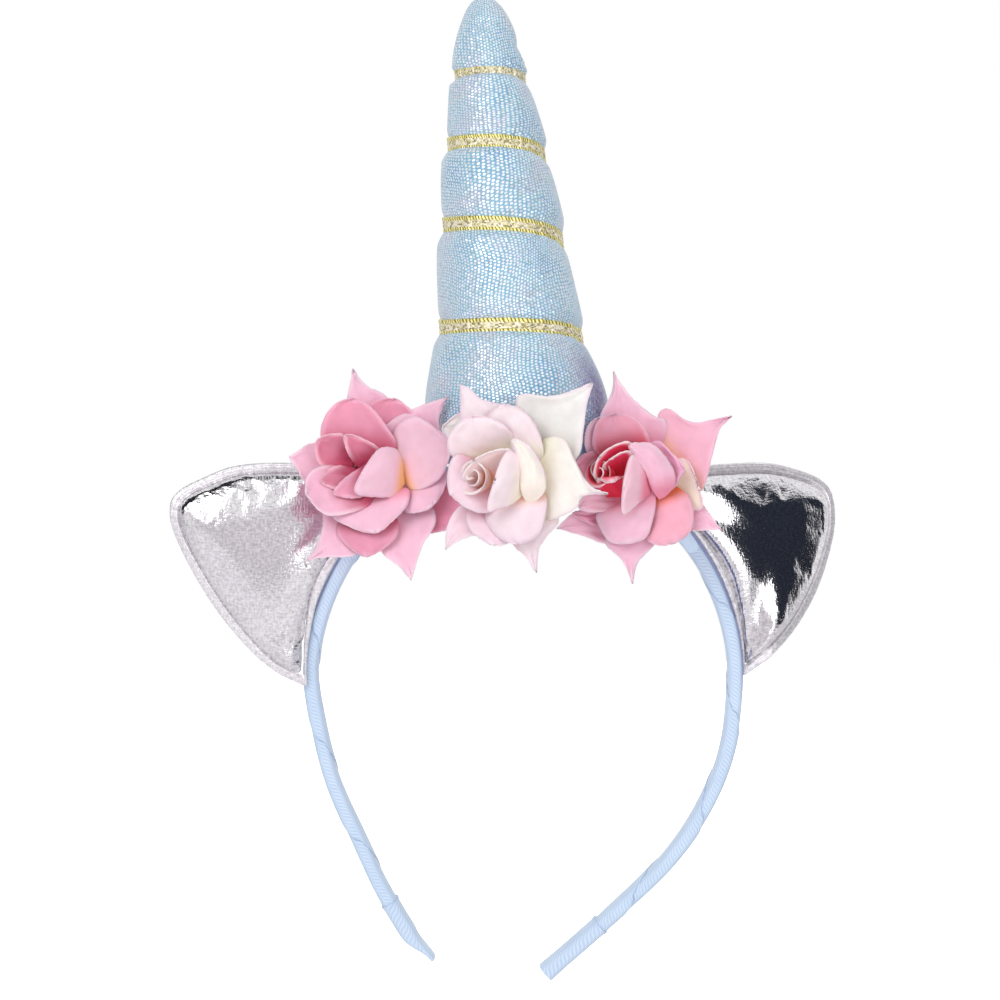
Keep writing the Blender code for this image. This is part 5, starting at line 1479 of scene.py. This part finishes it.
class HEADBAND_OT_band(bpy.types.Operator):
    """The hoop, wrapped in ribbon, and the ribbon ends folded over its tips"""

    bl_idname = "headband.band"
    bl_label = "Band"

    def execute(self, context):
        sizes = context.scene.headband_band
        hoop = Hoop(sizes)
        finish = grosgrain_finish("grosgrain_ribbon", context.scene.headband_colours)
        self.add_wrapped_hoop(hoop, sizes, finish)
        for side, name in ((-1, "end_wrap_left"), (1, "end_wrap_right")):
            self.add_cuff(hoop, sizes, side, name, finish)
        return {"FINISHED"}

    def add_wrapped_hoop(self, hoop, sizes, finish):
        """The hoop under its slanting turns of ribbon, up to the middle of each cuff."""
        length = hoop.length
        end = 1 - 0.5 * sizes.cuff_length / length
        perimeter = 2 * (sizes.width + sizes.thickness) / MM

        def since_lap(turn, share):
            """How much of a turn has gone by since the ribbon's last lapped edge."""
            return (share * length / sizes.wrap_pitch - turn + FIRST_LAP) % 1.0

        def lapped(turn, share):
            """How far the lapped ribbon stands off the hoop: most at its upper edge, least a turn later."""
            phase = since_lap(turn, share)
            return sizes.wrap_step * (smooth_step(0.0, 0.018, phase) * (1 - phase) - 0.35)

        def place(across, along):
            share = (2 * along - 1) * end
            skin = hoop.skin(share, across, lapped(across, share))
            middle, _ = hoop.at(share)
            closed = smooth_step(0.0, 0.004, np.minimum(along, 1 - along))[:, None]
            return middle + (skin - middle) * closed

        def dye_and_painted_light(across, along):
            """Painted shade: a dark line under each lapped edge, and a lilac painted shade on the outer
            corner beside the ears.
            """
            share = (2 * along - 1) * end
            line = np.exp(-(((since_lap(across, share) - 0.004) / 0.012) ** 2))[:, None]
            outside = np.minimum(across, 1 - across)
            corner = 1 - smooth_step(0.10, 0.17, outside)
            shoulder = smooth_step(0.16, 0.22, np.abs(share)) * (1 - smooth_step(0.44, 0.50, np.abs(share)))
            painted_shading = (corner * shoulder)[:, None]
            # 93A6C4 is the painted shade of the lines, and #A2A8D2 the lilac painted shade on the corner.
            tone = 1 - (1 - np.array(linear("#93A6C4"))) * line * 0.6
            return tone * (1 - painted_shading) + np.array(linear("#A2A8D2")) * painted_shading

        band = laid_sheet("wrapped_band", 72, 1000, place, dye_and_painted_light, tube=True)
        lay_uv(band, lambda across, along: (2 * along * end * length / MM, across * perimeter))
        finish_piece(band, finish, "band_ribbon", "band")

    def add_cuff(self, hoop, sizes, side, name, finish):
        """One ribbon end folded over its tip: the left one pinched flat, the right one blunt."""
        length = hoop.length
        perimeter = 2 * (sizes.tip_width + sizes.tip_thickness) / MM
        tapered = side < 0

        def place(across, along):
            # From the cuff's inner lip over its edge, down to the tip and closed there.
            outside = np.clip((along - 0.08) / 0.80, 0, 1)
            share = side * (1 - sizes.cuff_length / length * (1 - outside))
            swell = np.where(along < 0.06, -0.2 * MM, 0.30 * MM)
            swell = swell + 0.25 * MM * np.exp(-((outside - 0.02) / 0.03) ** 2)
            if tapered:
                squeeze = 1 - 0.80 * smooth_step(0.45, 1.0, outside)
            else:
                squeeze = 1 + 0.08 * smooth_step(0.7, 1.0, outside)
            skin = hoop.skin(share, across, swell, squeeze)
            middle, out = hoop.at(share)
            closed = 1 - smooth_step(0.88, 1.0, along) ** 1.5
            shaped = middle + (skin - middle) * closed[:, None]
            if tapered:
                shaped = shaped - out * (2.2 * MM * smooth_step(0.55, 1.0, outside))[:, None]
            return shaped

        def dye_and_painted_light(across, along):
            """Painted shade under the folded lip."""
            painted_lip_shade = np.exp(-(((along - 0.07) / 0.012) ** 2))[:, None]
            return 1 - (1 - np.array(linear("#93A6C4"))) * painted_lip_shade * 0.6

        cuff = laid_sheet(name + "_ribbon", 56, 120, place, dye_and_painted_light, tube=True)
        lay_uv(cuff, lambda across, along: (along * sizes.cuff_length / MM, across * perimeter))
        finish_piece(cuff, finish, "band_ribbon", name)


class HEADBAND_OT_horn(bpy.types.Operator):
    """The stuffed horn and the gold ribbon wound round it"""

    bl_idname = "headband.horn"
    bl_label = "Horn"

    def execute(self, context):
        sizes = context.scene.headband_horn
        colours = context.scene.headband_colours
        horn = Horn(sizes, context.scene.headband_band)
        self.add_horn(horn, sizes, foil_dot_finish("foil_dot_knit", colours))
        self.add_ribbon(horn, sizes, lurex_finish("lurex_ribbon", colours))
        return {"FINISHED"}

    def add_horn(self, horn, sizes, finish):
        """The stuffed cone, its foot closed flat over the band."""
        band = bpy.context.scene.headband_band
        # The last tenth of the sheet closes the horn's foot, and its rows crowd a little towards the tip.
        body_share, crowding = 0.90, 1.06

        def place(across, along):
            down = 0.0005 + 0.9995 * np.clip(along / body_share, 0, 1) ** crowding
            points = horn.point_at(down, across, horn.radius(down, across))
            inward = smooth_step(0.0, 1.0, np.clip((along - body_share) / (1 - body_share), 0, 1))
            centre = np.array([sizes.base_x, 0.0, horn.base_z])
            points[:, :2] = centre[:2] + (points[:, :2] - centre[:2]) * (1 - inward)[:, None]
            over_band = band.thickness + GAP * 2 - points[:, 0] ** 2 / (2 * band.inner_half_width)
            crosses_band = np.abs(points[:, 1]) < band.width / 2 + GAP
            floor = np.where(crosses_band, np.maximum(horn.base_z, over_band), horn.base_z)
            points[:, 2] = np.where(inward > 0, floor, np.maximum(points[:, 2], floor))
            return points

        def dye_and_painted_light(across, along):
            # Painted shade: a violet patch low on the horn's front right, beside the right rose.
            low = smooth_step(0.66, 0.80, along)
            painted_violet_shade = (low * np.exp(-(((across - 0.68) / 0.055) ** 2)))[:, None]
            return 1 - (1 - np.array(linear("#9C84B4"))) * painted_violet_shade

        horn_piece = laid_sheet("stuffed_horn", 168, 460, place, dye_and_painted_light, tube=True)
        # The cone's sides spread 0.135 mm a millimetre, and would meet 54 mm above its blunt tip.
        slope, above = 0.135, 54.0

        def unrolled(across, along):
            """The cone's skin laid out flat round its tip, in millimetres."""
            down = above + np.clip(along / body_share, 0, 1) ** crowding * sizes.length / MM
            angle = (across - 0.5) * 2 * math.pi * slope
            return down * np.sin(angle), -down * np.cos(angle)

        lay_uv(horn_piece, unrolled)
        finish_piece(horn_piece, finish, "horn_fabric", "horn")

    def add_ribbon(self, horn, sizes, finish):
        """The gold ribbon, which follows the pinch and has raised looped edges."""
        first, last = WINDING[0]["turn"], WINDING[-1]["turn"]
        steps = int((last - first) * 160)

        def place(across, along):
            turn = first + (last - first) * along
            down = horn.ribbon_down(turn)
            side = 2 * across - 1
            level = horn.radius(down, turn)
            tuck = 0.9 * MM * smooth_step(0.72, 1.0, np.abs(side)) ** 2
            loops = 0.16 * MM * smooth_step(0.5, 0.65, np.abs(side))
            loops = loops * (1 + 0.5 * np.sin(turn * 2 * math.pi * level / MM * 1.3 + 2 * side))
            height = 1.05 * MM + 0.2 * MM * (1 - side**2) + loops - tuck
            beside = side * 1.1 * sizes.ribbon_width / 2 / sizes.length
            return horn.point_at(down + beside, turn, level + height)

        ribbon = laid_sheet("gold_ribbon", 18, steps, place)
        mean_radius = 0.65 * sizes.base_radius / MM

        def woven(across, along):
            return (last - first) * along * 2 * math.pi * mean_radius, 2 * across - 1

        lay_uv(ribbon, woven)
        apply_modifier(ribbon, "ribbon", "SOLIDIFY", thickness=0.4 * MM, offset=0)
        finish_piece(ribbon, finish, "gold_ribbon", "horn_ribbon")


class HEADBAND_OT_ears(bpy.types.Operator):
    """The padded silver ears with their stitched rims"""

    bl_idname = "headband.ears"
    bl_label = "Ears"

    def execute(self, context):
        sizes = context.scene.headband_ears
        hoop = Hoop(context.scene.headband_band)
        finish = lame_finish("silver_lame", context.scene.headband_colours, 1.0, 0.13)
        # Stitching and pressing crush the foil of the rims to a satin.
        pressed = lame_finish("pressed_silver_lame", context.scene.headband_colours, 0.45, 0.36)
        for row in EARS:
            ear = Ear(sizes, hoop, row)
            pad = self.add_pad(ear, sizes, row["node"])
            rim = self.add_rim(ear, sizes, row["node"])
            for piece in (pad, rim):
                project_uv(piece, ear.centre, ear.out, ear.along)
            finish_piece(pad, finish, "silver_lame", row["node"])
            finish_piece(rim, pressed, "silver_lame")
        return {"FINISHED"}

    def add_pad(self, ear, sizes, name):
        """The stuffed middle of an ear, front and back in one closed skin."""
        spokes = np.linalg.norm(ear.edge - ear.centre, axis=1)
        flat_edge = np.column_stack(((ear.edge - ear.centre) @ ear.out, (ear.edge - ear.centre) @ ear.along))

        def place(across, along):
            # From the middle of the front over the seam to the middle of the back.
            share = 1 - np.abs(2 * along - 1)
            face = np.where(along < 0.5, 1.0, -1.0)
            steps = len(ear.edge)
            at = (across % 1.0) * steps
            spoke = np.interp(at, np.arange(steps + 1), np.append(spokes, spokes[0]))
            inset = spoke - (spoke - sizes.rim_width * 0.9) * share
            flat = ear.point(across, inset, 0 * inset) - ear.centre
            flat = np.column_stack((flat @ ear.out, flat @ ear.along))
            near = np.concatenate([
                np.linalg.norm(part[:, None] - flat_edge, axis=2).min(axis=1)
                for part in np.array_split(flat, 40)
            ])
            risen = np.clip((near - sizes.rim_width * 0.9) / EAR_SHOULDER, 0, 1) * (share < 1)
            swell = np.sqrt(1 - (1 - risen) ** 2)
            return ear.point(across, inset, face * (0.35 * sizes.rim_thickness + sizes.puff * 0.92 * swell))

        pad = laid_sheet(name + "_pad", 180, 96, place, tube=True)
        self.puff(pad, ear, sizes)
        apply_modifier(pad, "smooth", "SUBSURF", levels=1, render_levels=1)
        return pad

    def puff(self, pad, ear, sizes):
        """Remeshes the pad evenly, evens out its middle, lets it swell as stuffed cloth does, and caps how
        far a point may move."""
        apply_modifier(pad, "even", "REMESH", mode="VOXEL", voxel_size=1.0 * MM)
        apply_modifier(pad, "relax", "SMOOTH", factor=0.5, iterations=2)
        offset = points_of(pad) - ear.centre
        spread = offset - np.outer(offset @ ear.face, ear.face)
        angle = np.arctan2(spread @ ear.along, spread @ ear.out)
        edge_offset = ear.edge - ear.centre
        edge_angle = np.arctan2(edge_offset @ ear.along, edge_offset @ ear.out)
        order = np.argsort(edge_angle)
        spokes = np.linalg.norm(edge_offset, axis=1)
        seam = np.interp(angle, edge_angle[order], spokes[order], period=2 * math.pi)
        near = np.linalg.norm(spread, axis=1) / (seam - sizes.rim_width)
        middle = pad.vertex_groups.new(name="middle")
        weights = 1 - smooth_step(0.62, 0.86, near)
        for i in np.nonzero(weights > 0.01)[0]:
            middle.add([int(i)], float(weights[i]), "REPLACE")
        apply_modifier(pad, "even_out", "SMOOTH", factor=0.8, iterations=40, vertex_group="middle")
        before = points_of(pad)
        held = pad.vertex_groups.new(name="seam")
        held.add([int(i) for i in np.nonzero(near > 0.965)[0]], 1.0, "REPLACE")
        bpy.ops.object.select_all(action="DESELECT")
        pad.select_set(True)
        bpy.context.view_layer.objects.active = pad
        cloth = pad.modifiers.new("cloth", "CLOTH")
        settings = cloth.settings
        settings.quality = 6
        settings.mass = 0.15
        settings.tension_stiffness = 18
        settings.compression_stiffness = 18
        settings.shear_stiffness = 8
        settings.bending_stiffness = 0.06
        settings.vertex_group_mass = held.name
        settings.use_pressure = True
        settings.uniform_pressure_force = 3.0
        settings.shrink_min = -0.005
        settings.effector_weights.gravity = 0.0
        for number in range(1, 21):
            bpy.context.scene.frame_set(number)
        bpy.ops.object.modifier_apply(modifier=cloth.name)
        bpy.context.scene.frame_set(1)
        moved = points_of(pad) - before
        far = np.linalg.norm(moved, axis=1, keepdims=True)
        cap = 0.3 * MM
        place_points(pad, before + moved * np.minimum(1.0, cap / np.maximum(far, 1e-9)))

    def add_rim(self, ear, sizes, name):
        """The flat seam allowance round an ear, stitched twice and turned at its outer edge."""
        crown = (
            (1.15, 0.10), (0.98, 0.34), (0.86, 0.60), (0.72, 0.72), (0.63, 0.66), (0.54, 0.71), (0.40, 0.68),
            (0.31, 0.57), (0.22, 0.57), (0.10, 0.40), (0.02, 0.15),
        )
        profile = (*crown, *((inset, -lift) for inset, lift in reversed(crown)))
        insets = np.array([p[0] for p in profile]) * sizes.rim_width
        lifts = np.array([p[1] for p in profile]) * sizes.rim_thickness * 0.85
        # Stitches are 2.4 mm long, and the outline is about 165 mm long.
        stitches = round(165.0 / 2.4)

        def place(across, along):
            at = along * (len(profile) - 1)
            inset = np.interp(at, np.arange(len(profile)), insets)
            lift = np.interp(at, np.arange(len(profile)), lifts)
            stitch = 0.03 * MM * np.sin(across * 2 * math.pi * stitches) * np.sign(lift)
            pucker = 0.04 * MM * np.sin(across * 2 * math.pi * 31 + 3 * np.sin(across * 2 * math.pi * 5))
            return ear.point(across, inset, lift + stitch * (inset < 0.9 * sizes.rim_width) + pucker)

        return laid_sheet(name + "_rim", 560, 57, place, tube=True)


class HEADBAND_OT_roses(bpy.types.Operator):
    """The three fabric roses"""

    bl_idname = "headband.roses"
    bl_label = "Roses"

    def execute(self, context):
        sizes = context.scene.headband_roses
        hoop = Hoop(context.scene.headband_band)
        horn = Horn(context.scene.headband_horn, context.scene.headband_band)
        finish = petal_cloth_finish("petal_cloth")
        for number, row in enumerate(ROSES):
            rose = Rose(row, sizes, hoop, horn)
            for layer, layer_name in enumerate(LAYER_NAMES):
                petals = [
                    lay_petal(f"petal_{i}", rose, petal, 100 * number + i, sizes)
                    for i, petal in enumerate(row["petals"]) if petal["layer"] == layer
                ]
                piece = join(petals, f"{row['name']}_{layer_name}_cloth")
                finish_piece(piece, finish, row["slot"], f"{row['name']}_{layer_name}")
            bud = lay_bud(f"{row['name']}_bud_cloth", rose, sizes)
            finish_piece(bud, finish, row["slot"], f"{row['name']}_bud")
            self.dye_calyx(row)
        return {"FINISHED"}

    def dye_calyx(self, row):
        """The hidden post keeps its form and takes the band's pale blue."""
        # Wool felt: short fibres matted to a soft, uneven nap of about a millimetre.
        felt, tree, shader = new_finish(
            row["name"] + "_felt", {"Roughness": 0.9, "Sheen Weight": 0.4, "Specular IOR Level": 0.2}
        )
        place = node(tree, "ShaderNodeTexCoord")
        nap = node(
            tree, "ShaderNodeTexNoise", {"Scale": 900.0, "Detail": 4.0}, {"Vector": place.outputs["Object"]}
        )
        shade = node(
            tree, "ShaderNodeMix", {"A": linear("#BFD9F2"), "B": linear("#D3E5F8")},
            {"Factor": nap.outputs["Fac"]}, data_type="RGBA",
        )
        bump = node(
            tree, "ShaderNodeBump", {"Strength": 0.4, "Distance": 0.2 * MM}, {"Height": nap.outputs["Fac"]}
        )
        tree.links.new(shader.inputs["Base Color"], shade.outputs["Result"])
        tree.links.new(shader.inputs["Normal"], bump.outputs["Normal"])
        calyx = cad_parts[row["name"] + "_calyx"]
        calyx.data.materials.clear()
        calyx.data.materials.append(felt)


class HEADBAND_PT_panel(bpy.types.Panel):
    """Lists the headband's pieces"""

    bl_label = "Headband"
    bl_idname = "HEADBAND_PT_panel"
    bl_space_type = "VIEW_3D"
    bl_region_type = "UI"
    bl_category = "Headband"

    def draw(self, context):
        for operator in OPERATORS:
            self.layout.operator(operator.bl_idname)


SETTINGS = {
    "headband_band": BandSettings,
    "headband_horn": HornSettings,
    "headband_ears": EarSettings,
    "headband_roses": RoseSettings,
    "headband_colours": ColourSettings,
    "headband_stage": StageSettings,
}
OPERATORS = (
    HEADBAND_OT_stage,
    HEADBAND_OT_band,
    HEADBAND_OT_horn,
    HEADBAND_OT_ears,
    HEADBAND_OT_roses,
)


def register():
    for name, group in SETTINGS.items():
        bpy.utils.register_class(group)
        setattr(bpy.types.Scene, name, bpy.props.PointerProperty(type=group))
    for item in (*OPERATORS, HEADBAND_PT_panel):
        bpy.utils.register_class(item)


def unregister():
    for item in (HEADBAND_PT_panel, *reversed(OPERATORS)):
        bpy.utils.unregister_class(item)
    for name, group in SETTINGS.items():
        delattr(bpy.types.Scene, name)
        bpy.utils.unregister_class(group)


def main():
    register()
    bpy.ops.headband.stage()
    bpy.ops.headband.band()
    bpy.ops.headband.horn()
    bpy.ops.headband.ears()
    bpy.ops.headband.roses()


if __name__ == "__main__":
    main()
